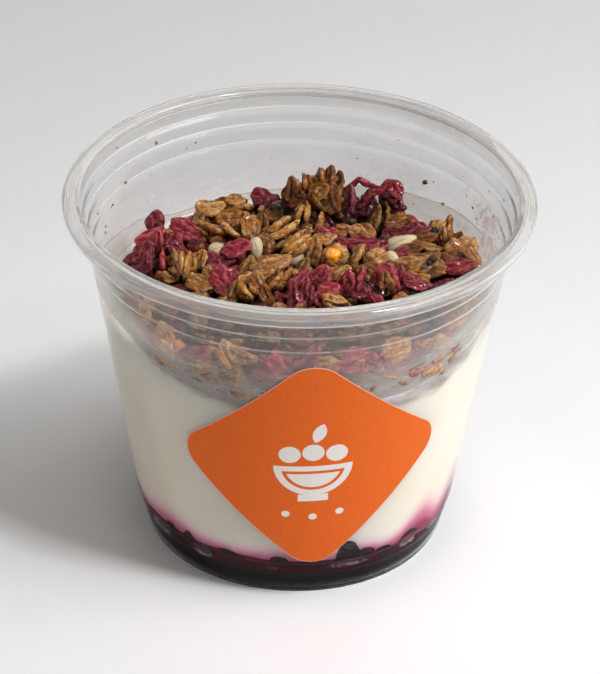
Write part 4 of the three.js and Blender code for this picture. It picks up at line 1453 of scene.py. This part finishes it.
# The map of the heap's top: the side of a cell, and the cells from its middle to its edge.
DEPTH_CELL = 0.7
DEPTH_CELLS = 70
# A place is painted darker, as shade, from the first to the second depth, and less so where light comes in
# through the wall.
SHADE_DEPTHS = (0.7, 3.7)
LIT_RADII = (32.5, 36)
LIT_SHARE = 0.85


def mark_painted_depth_shade(meshes):
    """Stores at each point the painted shade for how deep it lies under the top of the heap round it: 0 on
    top, 1 down in a gap.
    """
    side = 2 * DEPTH_CELLS
    spots = []
    for mesh in meshes:
        flat = np.empty(len(mesh.vertices) * 3, np.float32)
        mesh.vertices.foreach_get("co", flat)
        spots.append(flat.reshape(-1, 3) / MM)
    top = np.full((side, side), HEAP_FOOT, np.float32)
    cells = [np.clip((points[:, :2] / DEPTH_CELL + DEPTH_CELLS).astype(int), 0, side - 1) for points in spots]
    for points, at in zip(spots, cells):
        np.maximum.at(top, (at[:, 0], at[:, 1]), points[:, 2])
    shifts = [(i, j) for i in (-1, 0, 1) for j in (-1, 0, 1)]
    raised = np.max([np.roll(top, way, (0, 1)) for way in shifts], axis=0)
    for _ in range(2):
        raised = np.mean([np.roll(raised, way, (0, 1)) for way in shifts], axis=0)
    for mesh, points, at in zip(meshes, spots, cells):
        depth = raised[at[:, 0], at[:, 1]] - points[:, 2]
        lit_through_wall = LIT_SHARE * step(np.hypot(points[:, 0], points[:, 1]), *LIT_RADII)
        mark(mesh, "deep", step(depth, *SHADE_DEPTHS) * (1 - lit_through_wall))


# Strands of dried berry that arch over the back of the heap: thickness, and the points each runs through.
STRANDS = [
    (2, [
        (8.3, 14.5, 57.6), (10.1, 14.5, 59.4), (12.5, 14.4, 61.2), (14.5, 14.6, 63.7), (15.9, 15, 64.9),
        (18, 16, 65.6),
    ]),
    (1.4, [
        (9.8, 15.6, 60.5), (10.5, 16, 64.6), (12.2, 16, 66.8), (13.6, 16, 67.1), (15.2, 16, 66.1),
        (18.4, 16.8, 64.6),
    ]),
    (1.6, [(11.9, 17, 60.2), (13.7, 17.2, 61.4), (15.7, 17, 61.8), (17.6, 17, 60.4)]),
    (2.2, [(9.6, 15, 59.5), (10.6, 15.4, 61.8), (12, 15.2, 63.4), (12.9, 15, 62), (12.2, 15, 60.4)]),
]
STRAND_SIDES = 12
STRAND_RINGS = 40


def strand_mesh(rng):
    """The strands as crumpled tubes."""
    turn = np.arange(STRAND_SIDES) * FULL_TURN / STRAND_SIDES
    all_points, all_faces, grains = [], [], []
    for thick, knots in STRANDS:
        knots = np.array(knots, float)
        at = np.linspace(0, len(knots) - 1, STRAND_RINGS)
        line = np.stack([np.interp(at, range(len(knots)), knots[:, k]) for k in range(3)], -1)
        for _ in range(6):
            line[1:-1] = (line[:-2] + 2 * line[1:-1] + line[2:]) / 4
        line += 0.3 * np.stack([waves(rng, line, 3) for _ in range(3)], -1)
        ahead = np.gradient(line, axis=0)
        ahead /= np.linalg.norm(ahead, axis=1, keepdims=True)
        side = np.cross(ahead, [0, 1, 0.2])
        side /= np.linalg.norm(side, axis=1, keepdims=True)
        over = np.cross(side, ahead)
        ends = np.sqrt(np.maximum(0, 1 - np.linspace(-1, 1, STRAND_RINGS) ** 6))
        girth = thick / 2 * (0.25 + 0.75 * ends) * (1 + 0.28 * waves(rng, line, 2.2))
        rings = []
        for i in range(STRAND_RINGS):
            ridged = girth[i] * (1 + 0.16 * np.sin(3 * turn + 0.25 * i))
            across = (ridged * np.cos(turn))[:, None] * side[i]
            rings.append(line[i] + across + (0.75 * ridged * np.sin(turn))[:, None] * over[i])
        points, faces = closed_skin(np.array(rings), line[0], line[-1])
        all_faces += [tuple(i + len(all_points) for i in face) for face in faces]
        all_points += points.tolist()
        grains += (points * 0.6).tolist()
    count = len(all_points)
    layers = {"tone": np.full(count, 0.34), "rim": np.full(count, 0.4), "grain": grains}
    return new_mesh("granola_strands", all_points, all_faces, layers)


GRANOLA_KINDS = {
    "oat": ("granola_oats", baked_oats),
    "red": ("granola_fruit", dried_fruit),
    "seed": ("granola_seeds", shelled_seed),
    "lump": ("granola_knobs", lambda colours: baked_oats(colours, "knobs", 0.8)),
    "amber": ("granola_amber", amber_fruit),
    "dot": ("granola_dark_seeds", dark_seed),
    "crumb": ("granola_bits", lambda colours: baked_oats(colours, "bits", 0.5)),
}


def forms_of(kind, rng):
    if kind == "oat":
        return [flake_form(rng, rng.uniform(1.5, 2.1), 0.22, 0.075, 23) for _ in range(10)]
    if kind == "red":
        return [flake_form(rng, rng.uniform(1.4, 2.2), 0.3, 0.075) for _ in range(8)]
    if kind == "seed":
        return [knob_form(rng, FORM_LENGTH, FORM_WIDTH * 0.96, 2.6, 0.12, 5, point=0.3) for _ in range(2)]
    if kind == "lump":
        return [knob_form(rng, FORM_LENGTH, FORM_WIDTH, 4.2, 0.5, 4.5, 26, 15) for _ in range(3)]
    if kind == "amber":
        return [knob_form(rng, FORM_LENGTH, FORM_WIDTH, 3, 0.3, 4)]
    if kind == "dot":
        return [knob_form(rng, FORM_LENGTH, FORM_WIDTH, 1.3, 0.3, 4, 12, 8)]
    return [knob_form(rng, FORM_LENGTH, FORM_WIDTH, 1.6, 0.5, 4, 10, 6) for _ in range(3)]


# ---- operators -----------------------------------------------------------------------------------
class MouldCup(bpy.types.Operator):
    """Moulds the clear cup: foot with two ledges, flaring side, stacking steps and an open rolled lip"""

    bl_idname = "yogurt_cup.mould"
    bl_label = "Cup"

    def execute(self, context):
        sizes = context.scene.yogurt_cup_sizes
        inside = [(r - WALL, z) for r, z in OUTLINE if z > 1]
        section = FOOT_INSIDE[::-1] + inside + ROLL[::-1] + OUTLINE[::-1] + FOOT_OUTSIDE[::-1]
        finish = clear_plastic(context.scene.yogurt_cup_colours)
        shell = turned("cup_shell", rounded(section, SECTION_CORNER_R), sizes.sides, finish)
        shown("cup_shell", shell, finish, "cup")
        return {"FINISHED"}


COMPOTE_SIDES = 480
# The compote's underside, as radius and height from the middle out, and the level where it starts to show.
COMPOTE_FLOOR_Z = 2.05
COMPOTE_FLOOR = [
    (8, COMPOTE_FLOOR_Z), (18, COMPOTE_FLOOR_Z), (24.6, COMPOTE_FLOOR_Z), (26.2, 0.6), (28.95, 0.6),
    (29.6, 1.2), (30.1, 3), (30.5, 4.6),
]
COMPOTE_SHOWS = 5.2


class PourCompote(bpy.types.Operator):
    """Pours the compote: an uneven edge, berries pressed to the wall and pockets of air between them"""

    bl_idname = "yogurt_cup.compote"
    bl_label = "Compote"

    def execute(self, context):
        rings = Rings(COMPOTE_SIDES, "pocket", "berry", "glint")
        angle = rings.angle
        edge = round_the_cup(COMPOTE_EDGE, angle) + 0.12 * np.sin(rings.turn * 31)
        berry = np.zeros(rings.sides)
        for at, half, top in BERRIES:
            lean = np.clip((angle - at) / half, -1, 1)
            share = np.sqrt(np.maximum(0, 1 - (apart(angle, at) / half) ** 2)) * (1 - 0.16 * lean)
            edge = np.where(share > 0, np.maximum(edge, edge + (top - edge) * share), edge)
            berry = np.maximum(berry, step(share, 0, 0.35))
        for radius, height in COMPOTE_FLOOR:
            rings.add(radius, height)
        for share in np.linspace(0, 1, 26):
            z = COMPOTE_SHOWS + (edge - COMPOTE_SHOWS) * share
            pocket, glint = self.pockets(angle, z)
            on_wall = inner_radius(z) + 0.25 - 0.5 * pocket
            rings.add(on_wall, z, pocket=pocket, berry=berry * step(z, 7.2, 8.6), glint=glint)
        for back in (1.2, 3):
            rings.add(inner_radius(edge) - back, edge - 0.5 * back, berry=berry)
        mesh = rings.closed("compote_fill", COMPOTE_FLOOR_Z, COMPOTE_TOP - 0.6)
        shown("compote_fill", mesh, wet_compote(context.scene.yogurt_cup_colours), "compote")
        return {"FINISHED"}

    def pockets(self, angle, z):
        """How much of a ring is pocket of air, and how much is the painted highlight along the lower edge of
        one.
        """
        pocket = np.zeros(len(angle))
        glint = np.zeros(len(angle))
        for at, half, foot, top in AIR_POCKETS:
            middle = (foot + top) / 2
            wobble = 1 + 0.3 * np.sin(np.radians(angle - at) * 29 + at) + 0.2 * np.sin(z * 3.1 + at)
            upward = (z - middle) / (top - middle)
            reach = (apart(angle, at) / half) ** 2.2 * wobble + np.abs(upward) ** 2.2
            pocket = np.maximum(pocket, 1 - step(reach, 0.5, 1))
            rim = step(reach, 0.3, 0.62) * (1 - step(reach, 0.72, 1.1)) * step(-upward, 0.1, 0.7)
            glint = np.maximum(glint, rim)
        return pocket, glint


YOGURT_SIDES = 288
YOGURT_SEED = 11


class PourYogurt(bpy.types.Operator):
    """Pours the yogurt: it reaches the wall, climbs it at the sides and takes the stain of the compote"""

    bl_idname = "yogurt_cup.yogurt"
    bl_label = "Yogurt"

    def execute(self, context):
        rings = Rings(YOGURT_SIDES, "stain", "dulled_and_painted_shade")
        rng = np.random.default_rng(YOGURT_SEED)
        angle = rings.angle
        edge = round_the_cup(COMPOTE_EDGE, angle)
        brim = round_the_cup(YOGURT_EDGE, angle) + 0.25 * np.sin(rings.turn * 9 + 1)
        brim = brim - (brim - YOGURT_TOP - 0.5) * step(apart(angle, 0), 80, 106)
        facing = 1 - step(apart(angle, 0), 72, 96)
        grey_band_from = round_the_cup(GREY_BAND_EDGE, angle)
        rise = np.full(rings.sides, 2.0)
        strength = np.full(rings.sides, 0.55)
        for at, half, height, amount in STAINS:
            share = np.exp(-((apart(angle, at) / half) ** 2))
            rise = rise + (height - rise) * share
            strength = strength + (amount - strength) * share
        foot = COMPOTE_TOP - 1.6
        rings.add(inner_radius(foot) - 4, foot)
        for share in np.concatenate([np.linspace(0, 0.28, 24), np.linspace(0.3, 1, 44)]):
            z = foot + (brim - foot) * share
            above = z - edge
            stain = strength * np.exp(-((np.maximum(above, 0) / (rise * 1.15)) ** 1.5)) * 1.15
            dulled_and_painted_shade = step(z, grey_band_from - 0.9, grey_band_from + 1.6)
            rings.add(inner_radius(z) + 0.2 - 1.1 * step(-above, 0.1, 0.5), z, stain=stain, dulled_and_painted_shade=dulled_and_painted_shade)
        # Painted shade: the yogurt's top under the heap is greyed, most where it faces the front.
        for inward, drop in ((0.1, -0.12), (0.5, -0.15), (1, 0.2), (1.5, 1.2)):
            rings.add(inner_radius(brim) - inward, brim - drop, dulled_and_painted_shade=0.3 + 0.7 * facing)
        low = np.minimum(brim - 2, YOGURT_TOP)
        for inward in (2.2, 4, 7, 11, 16, 22, 28, 34):
            radius = inner_radius(YOGURT_TOP) - inward
            spots = np.stack([radius * rings.east, radius * rings.north, np.zeros(rings.sides)], -1)
            z = np.minimum(low + 0.1 * inward, YOGURT_TOP) + 0.22 * waves(rng, spots, 14)
            rings.add(radius, z, dulled_and_painted_shade=0.1 + 0.7 * facing)
        mesh = rings.closed("yogurt_fill", foot, YOGURT_TOP)
        shown("yogurt_fill", mesh, smooth_yogurt(context.scene.yogurt_cup_colours), "yogurt")
        return {"FINISHED"}


# The film's foot and top, how far it lies off the wall, and its inner face's radius as a share of the outer.
FILM_SIDES = 240
FILM_LOW = 49.4
FILM_HIGH = 66
FILM_OFF_WALL = 0.06
FILM_INSIDE = 0.9976
WALL_SEED = 5


class SmearWall(bpy.types.Operator):
    """Leaves a film of yogurt on the inside of the wall, and crumbs stuck to it"""

    bl_idname = "yogurt_cup.smear"
    bl_label = "Film and crumbs on the wall"

    def execute(self, context):
        rings = Rings(FILM_SIDES, "over", "pinkish", "front", "hazy")
        angle = rings.angle
        edge = round_the_cup(YOGURT_EDGE, angle)
        front = 1 - step(apart(angle, 0), 62, 86)
        hazy = np.exp(-((apart(angle, 44) / 22) ** 2)) + 0.35 * np.exp(-((apart(angle, -62) / 14) ** 2))
        pink = np.maximum(1 - step(apart(angle, 104), 10, 22), 0.5 * (1 - step(apart(angle, 150), 4, 14)))
        for z in np.linspace(FILM_LOW, FILM_HIGH, 46):
            pinkish = pink * step(z, 52, 56) * (1 - step(z, 62, 65))
            radius = float(inner_radius(z)) - FILM_OFF_WALL
            rings.add(radius, z, over=z - edge, pinkish=pinkish, front=front, hazy=hazy)
        inside = [ring * np.array([FILM_INSIDE, FILM_INSIDE, 1]) for ring in reversed(rings.rows)]
        rows = np.array(rings.rows + inside)
        faces = ring_faces(len(rows), rings.sides, loop=True).tolist()
        values = {name: np.concatenate(parts + parts[::-1]) for name, parts in rings.layers.items()}
        mesh = new_mesh("wall_film", rows.reshape(-1, 3), faces, values)
        shown("wall_film", mesh, wall_film(context.scene.yogurt_cup_sizes.film))
        finish = baked_oats(context.scene.yogurt_cup_colours, "wall_crumbs", 0.1)
        shown("wall_crumbs", self.crumbs(finish), finish)
        return {"FINISHED"}

    def crumbs(self, finish):
        rng = np.random.default_rng(WALL_SEED)
        shapes = [knob_form(rng, FORM_LENGTH, FORM_WIDTH, 4, 0.9, 4, 10, 7) for _ in range(3)]
        rows = []
        for i, (at, height, size) in enumerate(WALL_CRUMBS):
            turn = math.radians(at)
            radius = float(inner_radius(height)) - 0.25 * size - 0.1
            place = (radius * math.sin(turn), -radius * math.cos(turn), height)
            matrix = laid_turn(at, 80, rng.uniform(0, 180))
            scale = size * rng.uniform(0.9, 1.5) / FORM_LENGTH
            rows.append((i, place, matrix, (scale * 1.5, scale * 1.3, scale * 1.2), rng.uniform(0, 0.35)))
        return laid_out("wall_crumbs", shapes, rows, finish)


HEAP_SIDES = 180
HEAP_SEED = 3
CORE_SEED = 21
# The smallest and the largest crumb, as shares of its shape, and the square centimetres in a square metre.
CRUMB_SIZES = (0.5, 1.5)
CM2_IN_M2 = 1e4


class HeapGranola(bpy.types.Operator):
    """Heaps the granola: a packed core with its crumbs, and each kind of piece laid on it"""

    bl_idname = "yogurt_cup.granola"
    bl_label = "Granola"

    def execute(self, context):
        sizes = context.scene.yogurt_cup_sizes
        colours = context.scene.yogurt_cup_colours
        rng = np.random.default_rng(HEAP_SEED)
        core = self.core()
        dusty = baked_oats(colours, "crumb", 0.12)
        loose = self.crumbs(core.copy(), sizes, dusty, rng)
        packed = baked_oats(colours, "packed_crumb", 1.0)
        heaped = [("granola_core", core, packed), ("granola_crumbs", loose, dusty)]
        for kind, rows in Heap(sizes).rows.items():
            name, coat = GRANOLA_KINDS[kind]
            finish = coat(colours)
            heaped.append((name, laid_out(name, forms_of(kind, rng), rows, finish), finish))
        heaped.append(("granola_strands", strand_mesh(rng), dried_fruit(colours)))
        mark_painted_depth_shade([mesh for _, mesh, _ in heaped])
        for name, mesh, finish in heaped:
            shown(name, mesh, finish, "granola")
        return {"FINISHED"}

    def core(self):
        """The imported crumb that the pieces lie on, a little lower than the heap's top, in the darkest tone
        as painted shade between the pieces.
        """
        rings = Rings(HEAP_SIDES)
        edge = heap_edge(rings.turn - math.pi / 2)
        rings.add(0.96 * edge, HEAP_FOOT)
        for share in np.linspace(1, 0.02, 70) ** 0.8:
            x, y = edge * share * rings.east, edge * share * rings.north
            spots = np.stack([x, y, np.zeros(rings.sides)], -1)
            packed = np.abs(waves(np.random.default_rng(CORE_SEED), spots, 4.2, 14))
            z = heap_top(x, y) - 1.3
            rings.add(edge * share, np.maximum(z - 0.9 * packed + 0.4, HEAP_FOOT + 0.2))
        crown = float(heap_top(0, 0)) - 0.6
        points, faces = closed_skin(np.array(rings.rows), [0, 0, HEAP_FOOT], [0, 0, crown])
        layers = {"tone": np.full(len(points), 0.02), "rim": np.zeros(len(points)), "grain": points}
        return new_mesh("granola_core", points, faces, layers)

    def crumbs(self, core, sizes, finish, rng):
        """Crumbs scattered over the core by a tree with a fixed seed."""
        store = shape_store("crumb", [knob_form(rng, 1.5, 1.1, 0.8, 0.16, 1.2, 7, 4) for _ in range(4)])
        nodes = Nodes("Scatter crumbs", [
            ("Shapes", "NodeSocketCollection"), ("Density", "NodeSocketFloat"), ("Seed", "NodeSocketInt"),
            ("Smallest", "NodeSocketFloat"), ("Largest", "NodeSocketFloat"), ("Finish", "NodeSocketMaterial"),
        ])
        given = nodes.given
        spread = nodes.add("GeometryNodeDistributePointsOnFaces", None, {
            0: given["Geometry"], "Density": given["Density"], "Seed": given["Seed"],
        })
        kinds = nodes.shapes()
        turn = nodes.add("FunctionNodeRandomValue", {"data_type": "FLOAT_VECTOR"}, {
            "Max": (FULL_TURN,) * 3, "Seed": given["Seed"],
        })
        size = nodes.add("FunctionNodeRandomValue", {"data_type": "FLOAT"}, {
            2: given["Smallest"], 3: given["Largest"], "Seed": given["Seed"],
        }, 1)
        euler = nodes.add("FunctionNodeEulerToRotation", None, {0: turn})
        laid = nodes.add("GeometryNodeInstanceOnPoints", None, {
            "Points": spread, "Instance": kinds, "Pick Instance": True, "Rotation": euler, "Scale": size,
        })
        tone = nodes.add("FunctionNodeRandomValue", {"data_type": "FLOAT"}, {2: 0.0, 3: 0.85}, 1)
        marked = nodes.add("GeometryNodeStoreNamedAttribute", {"data_type": "FLOAT", "domain": "INSTANCE"}, {
            0: laid, "Name": "tone", "Value": tone,
        })
        nodes.finish(marked)
        smallest, largest = CRUMB_SIZES
        mesh = nodes.run("granola_crumbs", core, {
            "Shapes": store, "Density": sizes.crumb_density * CM2_IN_M2, "Seed": sizes.seed,
            "Smallest": smallest, "Largest": largest, "Finish": finish,
        })
        remove_store(store)
        return mesh


# The label's side and corners, how it is stuck on askew, the width of its flat map, and its paper.
LABEL_SIDE = 39.4
LABEL_LEAN = math.radians(1.2)
LABEL_SHIFT = (0.35, 0.4)
LABEL_CORNER_R = 6
LABEL_MAP = 64
LABEL_OFF_WALL = 0.06
LABEL_THICK = 0.12
LABEL_ROWS = 72
LABEL_COLUMNS = 48
# The outermost rows stop just short of the corners' tips, so that they keep a width.
LABEL_SPAN = 0.9999


def label_half_width(y):
    """Half the width of the turned square with round corners, at a height from its middle."""
    half = LABEL_SIDE / math.sqrt(2)
    centre = half - LABEL_CORNER_R * math.sqrt(2)
    height = abs(y)
    if height < LABEL_CORNER_R / math.sqrt(2):
        return centre + math.sqrt(LABEL_CORNER_R ** 2 - height ** 2)
    if height < centre + LABEL_CORNER_R / math.sqrt(2):
        return half - height
    return math.sqrt(max(0, LABEL_CORNER_R ** 2 - (height - centre) ** 2))


def rolled_on(x, y, out):
    """A flat point of the label on the cup's cone, out from the wall by a distance."""
    taper = math.atan((CONE_TOP[0] - CONE_FOOT[0]) / (CONE_TOP[1] - CONE_FOOT[1]))
    slant = float(outer_radius(LABEL_Z)) / math.sin(taper)
    distance = math.hypot(x, slant + y)
    turn = math.atan2(x, slant + y) / math.sin(taper)
    z = LABEL_Z + (distance - slant) * math.cos(taper)
    radius = float(outer_radius(z)) + out
    return radius * math.sin(turn), -radius * math.cos(turn), z


class StickLabel(bpy.types.Operator):
    """Sticks the square label on the wall, stood on a corner"""

    bl_idname = "yogurt_cup.label"
    bl_label = "Label"

    def execute(self, context):
        rows, columns = LABEL_ROWS, LABEL_COLUMNS
        half = LABEL_SIDE / math.sqrt(2) - LABEL_CORNER_R * (math.sqrt(2) - 1)
        flat = []
        for i in range(rows + 1):
            y = -half * math.cos(math.pi * i / rows) * LABEL_SPAN
            width = label_half_width(y)
            for j in range(columns + 1):
                flat.append((-math.cos(math.pi * j / columns) * width, y))
        count = len(flat)
        cos, sin = math.cos(LABEL_LEAN), math.sin(LABEL_LEAN)
        aside, up = LABEL_SHIFT
        leant = [(x * cos - y * sin + aside, x * sin + y * cos + up) for x, y in flat]
        points = [rolled_on(x, y, LABEL_OFF_WALL + LABEL_THICK) for x, y in leant]
        points += [rolled_on(x, y, LABEL_OFF_WALL) for x, y in leant]
        faces = []
        for i in range(rows):
            for j in range(columns):
                a = i * (columns + 1) + j
                b = a + columns + 1
                faces.append((a, a + 1, b + 1, b))
                faces.append((count + a, count + b, count + b + 1, count + a + 1))
        grid = np.arange(count).reshape(rows + 1, columns + 1)
        for side in (grid[0], grid[:, -1], grid[-1, ::-1], grid[::-1, 0]):
            for a, b in zip(side.tolist(), side[1:].tolist()):
                faces.append((b, a, count + a, count + b))
        mesh = new_mesh("label_sticker", points, faces)
        chart = mesh.uv_layers.new(name="flat")
        corners = np.array([loop.vertex_index for loop in mesh.loops]) % count
        spots = np.array(flat)[corners] / LABEL_MAP + 0.5
        chart.data.foreach_set("uv", spots.astype(np.float32).ravel())
        shown("label_sticker", mesh, label_paper(context.scene.yogurt_cup_colours), "label")
        return {"FINISHED"}


# ---- studio --------------------------------------------------------------------------------------
FLOOR_HALF = 2500
FLOOR_Z = -0.1
LIGHT_REACH = 620
LIGHT_AIM = (0, 0, 50)
ROOM_COLOUR = (1, 0.96, 0.89, 1)
KEY_COLOUR = (0.96, 0.97, 1)


def facing_from(place, right, up, back):
    """The matrix of a light or camera at a place in millimetres, with its axes given."""
    return Matrix.Translation(place * MM) @ Matrix(np.stack([right, up, back], -1).tolist()).to_4x4()


def area_light(name, around_it, lift, size, power, colour=(1, 1, 1)):
    """A light that faces the cup from an angle round it and a lift over the floor, in degrees."""
    way = pointing(math.radians(around_it), math.radians(lift))
    data = bpy.data.lights.new(name, "AREA")
    data.shape = "RECTANGLE"
    data.size = size[0] * MM
    data.size_y = size[1] * MM
    data.energy = power
    data.color = colour
    light = bpy.data.objects.new(name, data)
    side = np.cross([0, 0, 1], way)
    side /= np.linalg.norm(side)
    light.matrix_world = facing_from(way * LIGHT_REACH + np.array(LIGHT_AIM), side, np.cross(way, side), way)
    bpy.context.scene.collection.objects.link(light)


class SetStage(bpy.types.Operator):
    """Sets the pale floor, the soft lights and the camera"""

    bl_idname = "yogurt_cup.stage"
    bl_label = "Studio"

    def execute(self, context):
        scene = context.scene
        stage = scene.yogurt_cup_stage
        half = FLOOR_HALF
        corners = [(x, y, FLOOR_Z) for x, y in ((-half, -half), (half, -half), (half, half), (-half, half))]
        mesh = new_mesh("floor", corners, [(0, 1, 2, 3)], smooth=False)
        mesh.materials.append(studio_floor(stage.floor))
        floor = bpy.data.objects.new("floor", mesh)
        scene.collection.objects.link(floor)
        floor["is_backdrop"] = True

        area_light("key", 69, 43, (400, 400), stage.key, KEY_COLOUR)
        area_light("spark", 48, 56, (90, 90), stage.spark, KEY_COLOUR)
        area_light("strip", -92, 44, (300, 30), stage.fill)
        self.room(scene, stage)
        self.camera(scene)

        scene.view_settings.view_transform = "Standard"
        scene.view_settings.look = "None"
        scene.cycles.use_denoising = True
        scene.cycles.transparent_max_bounces = 24
        scene.cycles.max_bounces = 14
        scene.cycles.transmission_bounces = 14
        scene.cycles.glossy_bounces = 6
        scene.cycles.diffuse_bounces = 5
        scene.cycles.sample_clamp_indirect = 6
        return {"FINISHED"}

    def room(self, scene, stage):
        """Even light from all round, with brighter walls where they are seen or reflected."""
        world = bpy.data.worlds.new("room")
        world.use_nodes = True
        tree = world.node_tree
        air = tree.nodes["Background"]
        air.inputs["Color"].default_value = ROOM_COLOUR
        kind = tree.nodes.new("ShaderNodeLightPath")
        share = tree.nodes.new("ShaderNodeMapRange")
        share.inputs["To Min"].default_value = stage.tent
        share.inputs["To Max"].default_value = stage.room
        tree.links.new(kind.outputs["Is Diffuse Ray"], share.inputs["Value"])
        tree.links.new(share.outputs["Result"], air.inputs["Strength"])
        scene.world = world

    def camera(self, scene):
        lens = bpy.data.cameras.new("camera")
        lens.lens = CAMERA_LENS
        lens.sensor_width = SENSOR
        lens.sensor_fit = "AUTO"
        lens.clip_start = 0.01
        lens.clip_end = 20
        camera = bpy.data.objects.new("camera", lens)
        camera.matrix_world = facing_from(eye_place(), *eye_frame())
        scene.collection.objects.link(camera)
        scene.camera = camera


# ---- add-on --------------------------------------------------------------------------------------
STEPS = (MouldCup, PourCompote, PourYogurt, SmearWall, HeapGranola, StickLabel, SetStage)
SETTINGS = {
    "yogurt_cup_sizes": YogurtCupSizes,
    "yogurt_cup_colours": YogurtCupColours,
    "yogurt_cup_stage": YogurtCupStage,
}


class YogurtCupPanel(bpy.types.Panel):
    """Lists the cup's settings and the steps that make it"""

    bl_idname = "VIEW3D_PT_yogurt_cup"
    bl_label = "Yogurt cup"
    bl_space_type = "VIEW_3D"
    bl_region_type = "UI"
    bl_category = "Yogurt cup"

    def draw(self, context):
        for group, kind in SETTINGS.items():
            box = self.layout.box()
            for name in kind.__annotations__:
                box.prop(getattr(context.scene, group), name)
        for made in STEPS:
            self.layout.operator(made.bl_idname)


CLASSES = (*SETTINGS.values(), *STEPS, YogurtCupPanel)


def register():
    for kind in CLASSES:
        bpy.utils.register_class(kind)
    for name, kind in SETTINGS.items():
        setattr(bpy.types.Scene, name, PointerProperty(type=kind))


def unregister():
    for name in SETTINGS:
        delattr(bpy.types.Scene, name)
    for kind in reversed(CLASSES):
        bpy.utils.unregister_class(kind)


def main():
    register()
    bpy.ops.yogurt_cup.mould()
    bpy.ops.yogurt_cup.compote()
    bpy.ops.yogurt_cup.yogurt()
    bpy.ops.yogurt_cup.smear()
    bpy.ops.yogurt_cup.granola()
    bpy.ops.yogurt_cup.label()
    bpy.ops.yogurt_cup.stage()
    boxes = {"cad": CAD_BOX, "visual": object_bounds()}
    {name: [list(corner) for corner in box] for name, box in boxes.items()}


if __name__ == "__main__":
    main()
